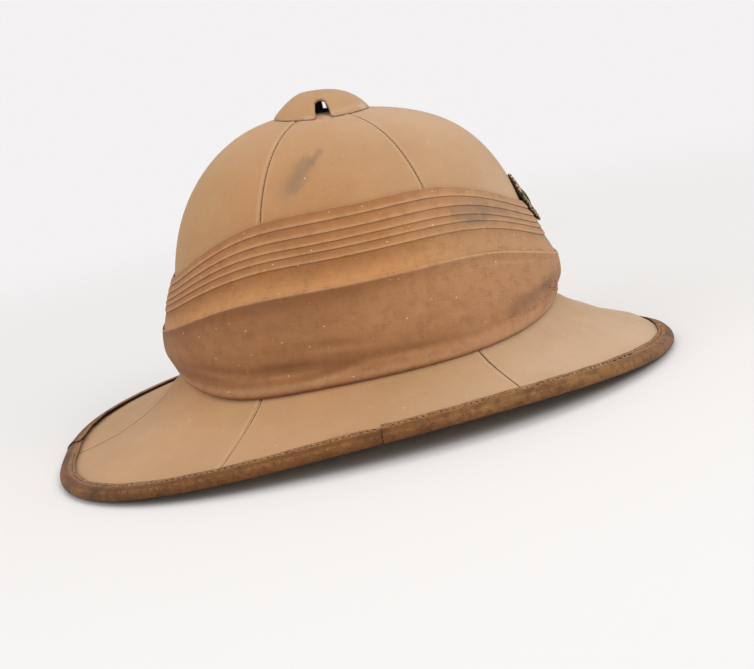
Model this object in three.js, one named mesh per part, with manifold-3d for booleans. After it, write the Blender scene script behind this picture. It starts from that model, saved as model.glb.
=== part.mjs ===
// Pith helmet with a cloth cover, a pleated puggaree, a leather-bound brim, a ventilator and a badge.
// Millimetres, +X towards the wearer's front, +Y to their left, +Z up.
// The origin is on the ground, under the middle of the brim, which rests on its front and back.

import * as THREE from 'three';
import { mergeVertices } from 'three/addons/utils/BufferGeometryUtils.js';
import Module from 'manifold-3d';

const wasm = await Module();
wasm.setup();

// Crown: a dome whose plan is an ellipse about an upright axis
const crownAxisX = 7;
const crownHalfLength = 103;
const crownHalfWidth = 85.5;
const crownFoot = 46.5;
const crownTop = 165.8;
const crownFullness = 2.55;
const crownLean = 0.08;
const crownLeanFade = 10;
const ventHoleRadius = 8;

// Brim edge: its outline is fuller behind its widest point, and its sides arch up off the ground
const rimHalfLength = 175;
const rimHalfWidth = 139;
const rimWidestX = -18;
const rimFrontFullness = 2;
const rimBackFullness = 2.65;
const rimRestHeight = 2.2;
const rimArch = 11;
const rimArchForward = 4.3;

// Brim section: it leaves the crown steeply and flares towards the edge, by quarter of the helmet
const flare = {
  tuck: { front: 2, side: 1.5, back: 3 },
  tuckHeight: { front: 35, side: 30.5, back: 35 },
  lip: { front: 29, side: 23.5, back: 46 },
  lipRise: { front: 14, side: 7, back: 5 },
};

// Walls, from the cloth cover inwards
const clearance = 0.3;
const coverThickness = 1;
const shellCrownThickness = 4;
const shellRimThickness = 2;
const seamWidth = 0.6;
const seamHeadings = [0, 57, 125, 180, 235, 303];

// Puggaree: heights of its lines by quarter of the helmet, held along the sides
const foldTop = { front: 93.5, side: 121.5, back: 93 };
const wrapTop = { front: 61.5, side: 83, back: 65 };
const wrapBottom = { front: 39, side: 32.5, back: 39 };
const puggareeSideHold = 5;
const puggareeGap = 0.6;
const puggareeInnerSteps = 4;

// Pleats from the top down: where each lower edge lies between the fold's top and the wrap's top,
// how far its tucked upper edge and its free lower edge stand out from the cover
const pleats = [
  { lowerEdge: 0.148, tucked: 1.4, free: 2.8 },
  { lowerEdge: 0.295, tucked: 1.8, free: 4.2 },
  { lowerEdge: 0.42, tucked: 3.0, free: 5.3 },
  { lowerEdge: 0.52, tucked: 4.1, free: 6.1 },
  { lowerEdge: 0.638, tucked: 4.9, free: 7.0 },
  { lowerEdge: 1, tucked: 5.8, free: 8.8 },
];

// Wrap from the top down: share of its height, and how far it stands out from the cover
const wrapBulge = [
  { share: 0, proud: 10.2 },
  { share: 0.2, proud: 11 },
  { share: 0.5, proud: 11 },
  { share: 0.8, proud: 9.2 },
  { share: 1, proud: 2.4 },
];

// Leather binding, folded over the brim edge in two lengths
const bindingThickness = 1;
const bindingWidth = 7;
const bindingNoseSteps = 4;
const bindingJoints = { side: -93, back: 173.5 };
const bindingJointGap = 0.4;

// Ventilator: a cloth-covered cap with an arched air hole at each side, on a stem through the crown
const capRadius = 26.5;
const capHeight = 11.4;
const capFullness = 1.9;
const capWall = 2;
const capSteps = 5;
const capSegments = 28;
const airHoleWidth = 8.5;
const airHoleHeight = 8.5;
const airHoleArcSteps = 6;
const airHoleUndercut = 1;
const stemRadius = 3.5;
const stemCollarRadius = 6.9;
const stemCollarRise = 1;
const stemFlangeRadius = 12;
const stemFlangeThickness = 1.5;
const stemFlangeGap = 0.75;
const stemSegments = 16;

// Badge: a cast oval plate with a raised edge, a ring of leaves and a plain boss
const badgeHeight = 31;
const badgeWidth = 27;
const badgePlate = 1.4;
const badgeEdgeWidth = 1.6;
const badgeEdgeRise = 0.8;
const badgeBossRadius = 5.5;
const badgeBossRise = 2;
const badgeBossSegments = 16;
const badgeLeaf = { length: 6.5, width: 3.2, rise: 1.2, count: 12, turn: 34 };
const badgeSegments = 28;
const badgeSink = 0.2;
const badgeMiddle = { x: 108.3, z: 94.6 };
const badgeTilt = 23;

// Rings of points round the crown, and rows of points from the crown's top to the brim's edge
const headingSteps = 48;
const nearestRing = 0.75;
const crownRows = 7;
const brimRows = 6;

const stackHalf = (coverThickness + clearance + shellRimThickness) / 2;

// A value given for the front, sides and back, blended round the helmet
function byHeading(value, heading, sideHold = 2) {
  const along = Math.abs(Math.cos(heading)) ** sideHold;
  const end = Math.cos(heading) > 0 ? value.front : value.back;
  return end * along + value.side * (1 - along);
}

// Distance from the crown's axis to the dome's foot
function crownRadius(heading) {
  return 1 / Math.hypot(Math.cos(heading) / crownHalfLength, Math.sin(heading) / crownHalfWidth);
}

// Below 1 inside the brim's outline, 1 on it
function rimOutline(x, y) {
  const ahead = x > rimWidestX;
  const halfLength = ahead ? rimHalfLength - rimWidestX : rimHalfLength + rimWidestX;
  const fullness = ahead ? rimFrontFullness : rimBackFullness;
  return Math.abs((x - rimWidestX) / halfLength) ** fullness + Math.abs(y / rimHalfWidth) ** fullness;
}

// Distance from the crown's axis to the brim's edge, found by halving
function rimRadius(heading) {
  let inside = 0;
  let outside = 2 * rimHalfLength;
  while (outside - inside > 1e-6) {
    const middle = (inside + outside) / 2;
    const x = crownAxisX + middle * Math.cos(heading);
    const y = middle * Math.sin(heading);
    if (rimOutline(x, y) < 1) inside = middle;
    else outside = middle;
  }
  return inside;
}

function rimHeight(heading) {
  const along = (crownAxisX + rimRadius(heading) * Math.cos(heading)) / rimHalfLength;
  return rimRestHeight + (1 - along ** 2) * (rimArch + rimArchForward * along);
}

// The dome is a rounded square in section, and its top leans towards the front
function domeHeight(heading, radius) {
  const share = Math.min(radius / crownRadius(heading), 1);
  const rise = (1 - share ** crownFullness) ** (1 / crownFullness);
  const lean = crownLean * radius * Math.cos(heading) * rise ** crownLeanFade;
  return crownFoot + (crownTop - crownFoot) * rise - lean;
}

// Dome rows: one at the ventilator's hole, then from under the cap's edge down to the foot
function domeRows(heading) {
  const foot = crownRadius(heading);
  const capAngle = Math.asin((capRadius / foot) ** (crownFullness / 2));
  const radii = [ventHoleRadius];
  for (let row = 0; row < crownRows; row += 1) {
    const angle = capAngle + ((Math.PI / 2 - capAngle) * row) / crownRows;
    radii.push(foot * Math.sin(angle) ** (2 / crownFullness));
  }
  return radii.map((radius) => new THREE.Vector2(radius, domeHeight(heading, radius)));
}

// The brim's curve from the crown's foot to its edge
function brimCurve(heading) {
  const foot = crownRadius(heading);
  const edge = new THREE.Vector2(rimRadius(heading), rimHeight(heading) + stackHalf);
  const lip = new THREE.Vector2(byHeading(flare.lip, heading), -byHeading(flare.lipRise, heading));
  return new THREE.CubicBezierCurve(
    new THREE.Vector2(foot, crownFoot),
    new THREE.Vector2(foot + byHeading(flare.tuck, heading), byHeading(flare.tuckHeight, heading)),
    edge.clone().sub(lip),
    edge,
  );
}

// The cover's outer face in one upright plane through the crown's axis
function coverProfile(heading) {
  return [...domeRows(heading), ...brimCurve(heading).getPoints(brimRows)];
}

// Outward directions of a profile that runs down and out
function profileNormals(profile) {
  return profile.map((point, row) => {
    const before = profile[Math.max(row - 1, 0)];
    const after = profile[Math.min(row + 1, profile.length - 1)];
    const along = after.clone().sub(before).normalize();
    return new THREE.Vector2(-along.y, along.x);
  });
}

// A face that lies inside the cover's outer face, by a depth that may change from crown to rim
function innerFace(heading, crownDepth, rimDepth) {
  const profile = coverProfile(heading);
  const normals = profileNormals(profile);
  return profile.map((point, row) => {
    const share = row / (profile.length - 1);
    const depth = crownDepth + (rimDepth - crownDepth) * share;
    return point.clone().addScaledVector(normals[row], -depth);
  });
}

// A point at a given height that stands out from the cover
function proudPoint(profile, normals, height, proud) {
  const row = profile.findIndex((point) => point.y <= height);
  const share = (profile[row - 1].y - height) / (profile[row - 1].y - profile[row].y);
  const normal = normals[row - 1].clone().lerp(normals[row], share).normalize();
  return profile[row - 1].clone().lerp(profile[row], share).addScaledVector(normal, proud);
}

function placeAt(point, heading) {
  const x = crownAxisX + point.x * Math.cos(heading);
  return new THREE.Vector3(x, point.x * Math.sin(heading), point.y);
}

function triangleMesh(points, triangles) {
  const geometry = new THREE.BufferGeometry();
  geometry.setAttribute('position', new THREE.Float32BufferAttribute(points.flatMap((p) => p.toArray()), 3));
  geometry.setIndex(triangles.flat());
  return geometry;
}

// Triangles across one end of a wall whose section runs down its outer face and back up its inner one
function endCap(size, first, facesBack) {
  const triangles = [];
  for (let row = 0; row < size / 2 - 1; row += 1) {
    const [outer, outerNext] = [first + row, first + row + 1];
    const [inner, innerNext] = [first + size - 1 - row, first + size - 2 - row];
    const quad = facesBack ? [outer, inner, innerNext, outerNext] : [outer, outerNext, innerNext, inner];
    triangles.push([quad[0], quad[1], quad[2]], [quad[0], quad[2], quad[3]]);
  }
  return triangles;
}

// A solid whose section, drawn clockwise in an upright plane, is carried round the crown's axis
function sweepRound(headings, sectionAt, closed) {
  const sections = headings.map(sectionAt);
  const size = sections[0].length;
  const points = sections.flatMap((section, ring) => section.map((p) => placeAt(p, headings[ring])));
  const triangles = [];
  const spans = closed ? headings.length : headings.length - 1;
  for (let ring = 0; ring < spans; ring += 1) {
    const here = ring * size;
    const next = ((ring + 1) % headings.length) * size;
    for (let corner = 0; corner < size; corner += 1) {
      const after = (corner + 1) % size;
      const [a, b, c, d] = [here + corner, here + after, next + after, next + corner];
      // inner faces split their quads the same way as the outer face that they follow
      if (corner < size / 2) triangles.push([a, b, c], [a, c, d]);
      else triangles.push([a, b, d], [b, c, d]);
    }
  }
  if (!closed) {
    const last = (headings.length - 1) * size;
    triangles.push(...endCap(size, 0, true), ...endCap(size, last, false));
  }
  return triangleMesh(points, triangles);
}

// Even steps round the crown's axis, with the nearest step to each seam moved on to it
function ringHeadings() {
  const step = 360 / headingSteps;
  return Array.from({ length: headingSteps }, (_, index) => {
    const seam = seamHeadings.find((heading) => Math.abs(heading - index * step) < step / 2);
    return THREE.MathUtils.degToRad(seam ?? index * step);
  });
}

// Headings between two joints, with the rings in between, none of them closer than nearestRing
function headingsBetween(from, to) {
  const nearest = THREE.MathUtils.degToRad(nearestRing);
  const turns = [-2 * Math.PI, 0, 2 * Math.PI];
  const rings = turns.flatMap((turn) => ringHeadings().map((heading) => heading + turn));
  return [from, ...rings.filter((heading) => heading > from + nearest && heading < to - nearest), to];
}

function finish(color, roughness, metalness = 0) {
  return new THREE.MeshStandardMaterial({ color, roughness, metalness });
}

function named(name, geometry, material) {
  const mesh = new THREE.Mesh(geometry, material);
  mesh.name = name;
  return mesh;
}

// Moulded pith: crown and brim in one wall, open below, with the ventilator's hole in its top
function shell() {
  const outerDepth = coverThickness + clearance;
  const geometry = sweepRound(ringHeadings(), (heading) => {
    const outer = innerFace(heading, outerDepth, outerDepth);
    const inner = innerFace(heading, outerDepth + shellCrownThickness, outerDepth + shellRimThickness);
    return [...outer, ...inner.reverse()];
  }, true);
  return named('shell', geometry, finish(0xcdb68d, 0.9));
}

// Cloth gores from the ventilator to the brim's edge, with a seam groove between them
function coverPanels() {
  const halfSeam = seamWidth / 2 / crownHalfLength;
  return seamHeadings.map((seam, index) => {
    const nextSeam = seamHeadings[index + 1] ?? 360;
    const from = THREE.MathUtils.degToRad(seam) + halfSeam;
    const to = THREE.MathUtils.degToRad(nextSeam) - halfSeam;
    const geometry = sweepRound(headingsBetween(from, to), (heading) => {
      const outer = innerFace(heading, 0, 0);
      const inner = innerFace(heading, coverThickness, coverThickness);
      return [...outer, ...inner.reverse()];
    }, false);
    return named(`cover_panel_${index + 1}`, geometry, finish(0xb48f62, 0.95));
  });
}

// Inner face of a puggaree piece, upwards from its bottom to its top
function againstCover(profile, normals, bottom, top) {
  return Array.from({ length: puggareeInnerSteps + 1 }, (_, step) => {
    return proudPoint(profile, normals, bottom + ((top - bottom) * step) / puggareeInnerSteps, puggareeGap);
  });
}

function puggareeFolds() {
  const geometry = sweepRound(ringHeadings(), (heading) => {
    const profile = coverProfile(heading);
    const normals = profileNormals(profile);
    const top = byHeading(foldTop, heading, puggareeSideHold);
    const bottom = byHeading(wrapTop, heading, puggareeSideHold) + clearance;
    const heightAt = (share) => top + (bottom - top) * share;
    const outer = pleats.flatMap((pleat, index) => {
      const upperEdge = index === 0 ? 0 : pleats[index - 1].lowerEdge;
      return [
        proudPoint(profile, normals, heightAt(upperEdge), pleat.tucked),
        proudPoint(profile, normals, heightAt(pleat.lowerEdge), pleat.free),
      ];
    });
    return [...outer, ...againstCover(profile, normals, bottom, top)];
  }, true);
  return named('puggaree_folds', geometry, finish(0xa5774a, 0.95));
}

function puggareeWrap() {
  const geometry = sweepRound(ringHeadings(), (heading) => {
    const profile = coverProfile(heading);
    const normals = profileNormals(profile);
    const top = byHeading(wrapTop, heading, puggareeSideHold);
    const bottom = byHeading(wrapBottom, heading, puggareeSideHold);
    const outer = wrapBulge.map(({ share, proud }) => {
      return proudPoint(profile, normals, top + (bottom - top) * share, proud);
    });
    return [...outer, ...againstCover(profile, normals, bottom, top)];
  }, true);
  return named('puggaree_wrap', geometry, finish(0x8f6240, 0.95));
}

// Folded strip round the brim's edge, pressed flat where it rests on the ground
function bindingSection(heading) {
  const profile = coverProfile(heading);
  const out = profile.at(-1).clone().sub(profile.at(-2)).normalize();
  const up = new THREE.Vector2(-out.y, out.x);
  const middle = profile.at(-1).clone().addScaledVector(up, -stackHalf);
  const innerHalf = stackHalf + clearance;
  const corner = (along, across) => {
    const point = middle.clone().addScaledVector(out, along).addScaledVector(up, across);
    point.y = Math.max(point.y, 0);
    return point;
  };
  const face = (half) => {
    const points = [corner(-bindingWidth, half)];
    for (let step = 0; step <= bindingNoseSteps; step += 1) {
      const angle = (Math.PI * step) / bindingNoseSteps;
      points.push(corner(clearance + half * Math.sin(angle), half * Math.cos(angle)));
    }
    return [...points, corner(-bindingWidth, -half)];
  };
  return [...face(innerHalf + bindingThickness), ...face(innerHalf).reverse()];
}

function bindingLengths() {
  const side = THREE.MathUtils.degToRad(bindingJoints.side);
  const back = THREE.MathUtils.degToRad(bindingJoints.back);
  const halfGap = bindingJointGap / 2 / rimHalfWidth;
  const lengths = {
    binding_front: [side + halfGap, back - halfGap],
    binding_back: [back + halfGap, side + 2 * Math.PI - halfGap],
  };
  return Object.entries(lengths).map(([name, [from, to]]) => {
    const geometry = sweepRound(headingsBetween(from, to), bindingSection, false);
    return named(name, geometry, finish(0x4f3524, 0.6));
  });
}

// A closed solid for cutting and joining, from any closed geometry
function toSolid(geometry) {
  const bare = geometry.clone();
  bare.deleteAttribute('normal');
  bare.deleteAttribute('uv');
  const merged = mergeVertices(bare);
  const vertProperties = new Float32Array(merged.attributes.position.array);
  const triVerts = new Uint32Array(merged.index.array);
  return new wasm.Manifold(new wasm.Mesh({ numProp: 3, vertProperties, triVerts }));
}

function toGeometry(solid) {
  const { vertProperties, triVerts } = solid.getMesh();
  const geometry = new THREE.BufferGeometry();
  geometry.setAttribute('position', new THREE.BufferAttribute(vertProperties, 3));
  geometry.setIndex(new THREE.BufferAttribute(triVerts, 1));
  return geometry;
}

// Lathe turned from Y up to Z up
function turned(profile, segments) {
  return new THREE.LatheGeometry(profile, segments).rotateX(Math.PI / 2);
}

function capFace(radius, height) {
  return Array.from({ length: capSteps + 1 }, (_, step) => {
    const angle = (Math.PI / 2) * (step / capSteps);
    const across = step === capSteps ? 0 : radius * Math.cos(angle) ** (2 / capFullness);
    return new THREE.Vector2(across, height * Math.sin(angle) ** (2 / capFullness));
  });
}

// Passage from one air hole to the other, with an arched top
function airPassage() {
  const half = airHoleWidth / 2;
  const arch = new THREE.Shape();
  arch.moveTo(-half, -airHoleUndercut);
  arch.lineTo(half, -airHoleUndercut);
  arch.lineTo(half, airHoleHeight - half);
  arch.absarc(0, airHoleHeight - half, half, 0, Math.PI, false);
  const length = 2 * capRadius + 2 * capWall;
  const options = { depth: length, bevelEnabled: false, curveSegments: airHoleArcSteps };
  const passage = new THREE.ExtrudeGeometry(arch, options);
  return passage.translate(0, 0, -length / 2).rotateX(Math.PI / 2);
}

// Moves a piece built on the flat about the crown's axis up on to the dome, bent and leaning as the dome is
function seatOnDome(geometry) {
  const position = geometry.attributes.position;
  for (let index = 0; index < position.count; index += 1) {
    const x = position.getX(index);
    const y = position.getY(index);
    const seat = domeHeight(Math.atan2(y, x), Math.hypot(x, y));
    position.setXYZ(index, x + crownAxisX, y, position.getZ(index) + seat + clearance);
  }
  return geometry;
}

function ventilatorCap() {
  const outer = capFace(capRadius, capHeight);
  const inner = capFace(capRadius - capWall, capHeight - capWall).reverse();
  const dome = toSolid(turned([...outer, ...inner, outer[0]], capSegments));
  const geometry = toGeometry(dome.subtract(toSolid(airPassage())));
  return named('ventilator_cap', seatOnDome(geometry), finish(0xb48f62, 0.95));
}

// Screwed stem: flange inside the crown, collar in its hole, post up to the cap
function ventilatorStem() {
  const flangeTop = -(coverThickness + clearance + shellCrownThickness + stemFlangeGap);
  const postTop = capHeight - capWall - clearance;
  const profile = [
    [0, flangeTop - stemFlangeThickness],
    [stemFlangeRadius, flangeTop - stemFlangeThickness],
    [stemFlangeRadius, flangeTop],
    [stemCollarRadius, flangeTop],
    [stemCollarRadius, stemCollarRise],
    [stemRadius, stemCollarRise],
    [stemRadius, postTop],
    [0, postTop],
  ].map(([radius, height]) => new THREE.Vector2(radius, height));
  const geometry = seatOnDome(turned(profile, stemSegments));
  return named('ventilator_stem', geometry, finish(0x3a3026, 0.5, 0.6));
}

function ovalShape(width, height) {
  const shape = new THREE.Shape();
  shape.absellipse(0, 0, width / 2, height / 2, 0, 2 * Math.PI, false, 0);
  return shape;
}

function raised(shape, base, rise) {
  const options = { depth: rise, bevelEnabled: false, curveSegments: badgeSegments / 2 };
  return toSolid(new THREE.ExtrudeGeometry(shape, options).translate(0, 0, base));
}

// A pointed leaf with a ridge, lying along +Y
function leaf() {
  const { length, width, rise } = badgeLeaf;
  const geometry = new THREE.OctahedronGeometry(1, 0);
  return geometry.scale(width / 2, length / 2, rise);
}

function badge() {
  const inner = ovalShape(badgeWidth - 2 * badgeEdgeWidth, badgeHeight - 2 * badgeEdgeWidth);
  const edge = ovalShape(badgeWidth, badgeHeight);
  edge.holes.push(inner);
  let solid = raised(ovalShape(badgeWidth, badgeHeight), 0, badgePlate);
  solid = solid.add(raised(edge, badgePlate - badgeSink, badgeEdgeRise + badgeSink));
  for (let index = 0; index < badgeLeaf.count; index += 1) {
    const angle = (2 * Math.PI * (index + 0.5)) / badgeLeaf.count;
    const piece = leaf().rotateZ(angle - THREE.MathUtils.degToRad(badgeLeaf.turn));
    const across = (badgeWidth / 2 - badgeEdgeWidth - badgeLeaf.width) * Math.cos(angle);
    const up = (badgeHeight / 2 - badgeEdgeWidth - badgeLeaf.width) * Math.sin(angle);
    solid = solid.add(toSolid(piece.translate(across, up, badgePlate)));
  }
  const boss = new THREE.SphereGeometry(badgeBossRadius, badgeBossSegments, badgeBossSegments / 2);
  boss.scale(1, 1, badgeBossRise / badgeBossRadius);
  solid = solid.add(toSolid(boss.translate(0, 0, badgePlate)));
  const mesh = named('badge', toGeometry(solid), finish(0x4a3d24, 0.45, 0.9));
  mesh.rotation.set(Math.PI / 2, 0, 0);
  const turn = new THREE.Group();
  turn.rotation.z = Math.PI / 2;
  turn.add(mesh);
  const lean = new THREE.Group();
  lean.rotation.y = -THREE.MathUtils.degToRad(badgeTilt);
  lean.position.set(badgeMiddle.x, 0, badgeMiddle.z);
  lean.add(turn);
  return lean;
}

const helmet = new THREE.Group();
helmet.add(shell(), ...coverPanels());
helmet.add(puggareeFolds(), puggareeWrap());
helmet.add(...bindingLengths());
helmet.add(ventilatorCap(), ventilatorStem(), badge());

export default helmet;
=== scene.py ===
import math

import bmesh
import bpy
import numpy as np
from mathutils import Matrix, Vector


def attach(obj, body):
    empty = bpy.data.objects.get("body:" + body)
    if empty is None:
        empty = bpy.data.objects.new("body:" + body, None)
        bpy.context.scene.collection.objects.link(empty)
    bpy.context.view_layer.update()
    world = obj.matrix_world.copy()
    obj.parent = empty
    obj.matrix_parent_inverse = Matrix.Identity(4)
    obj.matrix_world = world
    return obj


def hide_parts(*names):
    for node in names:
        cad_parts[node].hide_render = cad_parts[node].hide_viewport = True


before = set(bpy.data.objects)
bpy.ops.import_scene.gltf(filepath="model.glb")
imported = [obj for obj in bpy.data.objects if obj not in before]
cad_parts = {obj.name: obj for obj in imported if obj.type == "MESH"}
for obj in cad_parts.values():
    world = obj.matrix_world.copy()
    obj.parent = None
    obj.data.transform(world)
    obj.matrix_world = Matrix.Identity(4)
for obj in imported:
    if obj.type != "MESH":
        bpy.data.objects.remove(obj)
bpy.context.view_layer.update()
print("frame loaded:", len(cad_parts), "nodes")

# Sizes are in millimetres and headings in degrees about the crown's axis, 0 at the front
mm = 0.001

helmet = {
    "axisX": 7.0,
    "halfLength": 103.0,
    "halfWidth": 85.5,
    "foot": 46.5,
    "top": 165.8,
    "fullness": 2.55,
    "lean": 0.08,
    "leanFade": 10.0,
    "holeRadius": 8.0,
    "rimLength": 175.0,
    "rimWidth": 139.0,
    "rimWidest": -18.0,
    "rimFront": 2.0,
    "rimBack": 2.65,
    "rimRest": 2.2,
    "rimArch": 11.0,
    "rimArchForward": 4.3,
    "farDroop": 1.8,
    "sideDroop": 0.9,  # more of it, away from the front
    "flatFrom": (0, 11),  # heading where the far edge starts to lie flat, and the degrees until it does
    "droopFrom": (4, 15),
    "sideFrom": (16, 20),
    "farEnd": (-88, 18),  # the same from the other end, counted backwards
    "stackHalf": 1.65,
    "tuck": (2.0, 1.5, 3.0),  # front, side, back
    "tuckHeight": (35.0, 30.5, 35.0),
    "lip": (29.0, 23.5, 46.0),
    "lipRise": (14.0, 7.0, 5.0),
}
puggaree = {  # heights of its edges at the front, side and back
    "foldTop": (93.5, 121.5, 93.0),
    "wrapTop": (61.5, 83.0, 65.0),
    "wrapBottom": (39.0, 32.5, 39.0),
    "hold": 5,  # how long the edges stay up at the sides
}


def ease(x):
    x = np.clip(x, 0, 1)
    return x * x * (3 - 2 * x)


def ramp(x, start, reach):
    return ease((x - start) / reach)


def hump(x, middle, width):
    return np.exp(-((x - middle) / width) ** 2)


def turns(count, start=0.0):
    return np.linspace(0, 2 * np.pi, count, endpoint=False) + start


def unit(v):
    return v / np.linalg.norm(v, axis=-1, keepdims=True)


def leftOf(way):
    return np.stack([-way[..., 1], way[..., 0]], axis=-1)


# distance along rows of points
def runLength(points, axis=0):
    far = np.cumsum(np.linalg.norm(np.diff(points, axis=axis), axis=-1), axis=axis)
    return np.insert(far, 0, 0, axis=axis)


def alongRun(points, far, wanted):
    return np.stack([np.interp(wanted, far, column) for column in points.T], axis=1)


def soften(line, times):
    for again in range(times):
        line[1:-1] = (line[:-2] + 2 * line[1:-1] + line[2:]) / 4
    return line


def turnFrom(h, middle):
    return (h - middle + np.pi) % (2 * np.pi) - np.pi


# 1 at the middle heading and less to both sides, with the middle and half width in degrees
def window(h, middle, half):
    return hump(turnFrom(h, math.radians(middle)), 0, math.radians(half))


# a smooth wander round the helmet, between about -1 and 1, the same on every run
def wander(h, seed, waves=(3, 7, 13, 23)):
    rng = np.random.default_rng(seed)
    total = 0 * h
    for number in waves:
        total = total + np.sin(number * h + rng.uniform(0, 2 * np.pi)) * rng.uniform(0.5, 1) / len(waves) ** 0.5
    return total


def byHeading(value, h, hold=2):
    front, side, back = value
    along = np.abs(np.cos(h)) ** hold
    return np.where(np.cos(h) > 0, front, back) * along + side * (1 - along)


def edgeAt(name, h):
    return byHeading(puggaree[name], h, puggaree["hold"])


def crownRadius(h):
    return 1 / np.hypot(np.cos(h) / helmet["halfLength"], np.sin(h) / helmet["halfWidth"])


# distance from the crown's axis to the brim's edge, found by halving
def rimRadius(h):
    reach, widest = helmet["rimLength"], helmet["rimWidest"]
    low, high = np.zeros_like(h), np.full_like(h, 2 * reach)
    for step in range(44):
        middle = (low + high) / 2
        x = helmet["axisX"] + middle * np.cos(h) - widest
        y = middle * np.sin(h)
        half = np.where(x > 0, reach - widest, reach + widest)
        full = np.where(x > 0, helmet["rimFront"], helmet["rimBack"])
        inside = np.abs(x / half) ** full + np.abs(y / helmet["rimWidth"]) ** full < 1
        low, high = np.where(inside, middle, low), np.where(inside, high, middle)
    return low


# share of the far front headings, where the brim droops and its binding lies flat behind a low rise
def flatEdge(h, part="flatFrom"):
    degrees = np.degrees(h) % 360
    return ramp(degrees, *helmet[part]) * ramp(-degrees, *helmet["farEnd"])


def rimHeight(h):
    along = (helmet["axisX"] + rimRadius(h) * np.cos(h)) / helmet["rimLength"]
    level = helmet["rimRest"] + (1 - along ** 2) * (helmet["rimArch"] + helmet["rimArchForward"] * along)
    return level - helmet["farDroop"] * flatEdge(h, "droopFrom") - helmet["sideDroop"] * flatEdge(h, "sideFrom")


def domeHeight(h, radius):
    share = np.minimum(radius / crownRadius(h), 1)
    rise = np.maximum(1 - share ** helmet["fullness"], 0) ** (1 / helmet["fullness"])
    lean = helmet["lean"] * radius * np.cos(h) * rise ** helmet["leanFade"]
    return helmet["foot"] + (helmet["top"] - helmet["foot"]) * rise - lean


def brimPoint(h, t):
    foot, edge, level = crownRadius(h), rimRadius(h), rimHeight(h) + helmet["stackHalf"]
    tuck, tuckHeight, lip, lipRise = (byHeading(helmet[k], h) for k in ("tuck", "tuckHeight", "lip", "lipRise"))
    radii = [foot, foot + tuck, edge - lip, edge]
    heights = [np.full_like(h, helmet["foot"]), tuckHeight, level + lipRise, level]
    weights = [(1 - t) ** 3, 3 * t * (1 - t) ** 2, 3 * t ** 2 * (1 - t), t ** 3]
    return sum(w * r for w, r in zip(weights, radii)), sum(w * z for w, z in zip(weights, heights))


# the cover's outer face: radius, height and outward direction, a row of each for every heading
def coverFace(h, domeRows, brimRows):
    h = np.asarray(h, float)
    h = h[:, None] if h.ndim == 1 else h
    domeH, brimH = (h, h) if h.shape[1] == 1 else (h[:, :domeRows], h[:, domeRows:])
    foot = crownRadius(domeH)
    first = np.arcsin((helmet["holeRadius"] / foot) ** (helmet["fullness"] / 2))
    angle = first + (np.pi / 2 - first) * np.linspace(0, 1, domeRows, endpoint=False)[None, :]
    domeR = foot * np.sin(angle) ** (2 / helmet["fullness"])
    brimR, brimZ = brimPoint(brimH, np.linspace(0, 1, brimRows)[None, :])
    r = np.hstack([domeR, brimR])
    z = np.hstack([domeHeight(domeH, domeR), brimZ])
    dr, dz = np.gradient(r, axis=1), np.gradient(z, axis=1)
    size = np.hypot(dr, dz)
    return r, z, -dz / size, dr / size


def place(r, z, h):
    h = np.asarray(h, float)
    h = h[:, None] if np.ndim(r) == 2 and h.ndim == 1 else h
    return np.stack([helmet["axisX"] + r * np.cos(h), r * np.sin(h), z + 0 * r], axis=-1)


def direction(nr, nz, h):
    return np.stack([nr * np.cos(h), nr * np.sin(h), nz], axis=-1)


# a point on one heading at a given height, standing proud of the cover
class CoverLine:
    def __init__(self, heading):
        self.r, self.z, self.nr, self.nz = (k[0][::-1] for k in coverFace(np.array([heading]), 160, 120))

    def at(self, height, proud):
        nr, nz = np.interp(height, self.z, self.nr), np.interp(height, self.z, self.nz)
        size = np.hypot(nr, nz)
        return np.interp(height, self.z, self.r) + proud * nr / size, height + proud * nz / size


def onCover(headingHeight, proud=0.0):
    heading, height = headingHeight
    h = math.radians(heading)
    return place(*CoverLine(h).at(height, proud), h)


def addObject(name, data):
    made = bpy.data.objects.new(name, data)
    bpy.context.scene.collection.objects.link(made)
    return made


# a new mesh object, its points in millimetres, with a value or a vector for each point
def newPiece(name, points, faces=(), values=None):
    mesh = bpy.data.meshes.new(name)
    mesh.from_pydata((np.asarray(points, float) * mm).tolist(), [], list(faces))
    for key, value in (values or {}).items():
        value = np.asarray(value, np.float32).ravel()
        isVector = len(value) == 3 * len(mesh.vertices)
        layer = mesh.attributes.new(key, "FLOAT_VECTOR" if isVector else "FLOAT", "POINT")
        layer.data.foreach_set("vector" if isVector else "value", value)
    return addObject(name, mesh)


# a mesh of quads from rows of points; its map holds millimetres over 100, across and down the cloth
def gridPiece(name, grid, ring=False, tube=False, caps=False, values=None):
    grid = np.asarray(grid, float)
    rings, rows = grid.shape[:2]
    whole = np.concatenate([grid, grid[:1]]) if ring else grid
    whole = np.concatenate([whole, whole[:, :1]], axis=1) if tube else whole
    across, down = runLength(whole, 0), runLength(whole, 1)
    cloth = np.stack([across - across[len(across) // 2], down], axis=-1) / 100
    i, j = (k.ravel() for k in np.meshgrid(*(np.arange(n - 1) for n in whole.shape[:2]), indexing="ij"))
    corners = [(i, j), (i, j + 1), (i + 1, j + 1), (i + 1, j)]
    faces = np.stack([(a % rings) * rows + b % rows for a, b in corners], axis=1).tolist()
    loops = np.stack([cloth[a, b] for a, b in corners], axis=1).reshape(-1, 2)
    if caps:
        faces += [list(range(rows)), list(range((rings - 1) * rows, rings * rows))[::-1]]
        loops = np.concatenate([loops, np.zeros((2 * rows, 2))])
    piece = newPiece(name, grid.reshape(-1, 3), faces, values)
    piece.data.uv_layers.new(name="cloth").data.foreach_set("uv", loops.astype(np.float32).ravel())
    piece.data.polygons.foreach_set("use_smooth", np.ones(len(faces), bool))
    return piece


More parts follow.
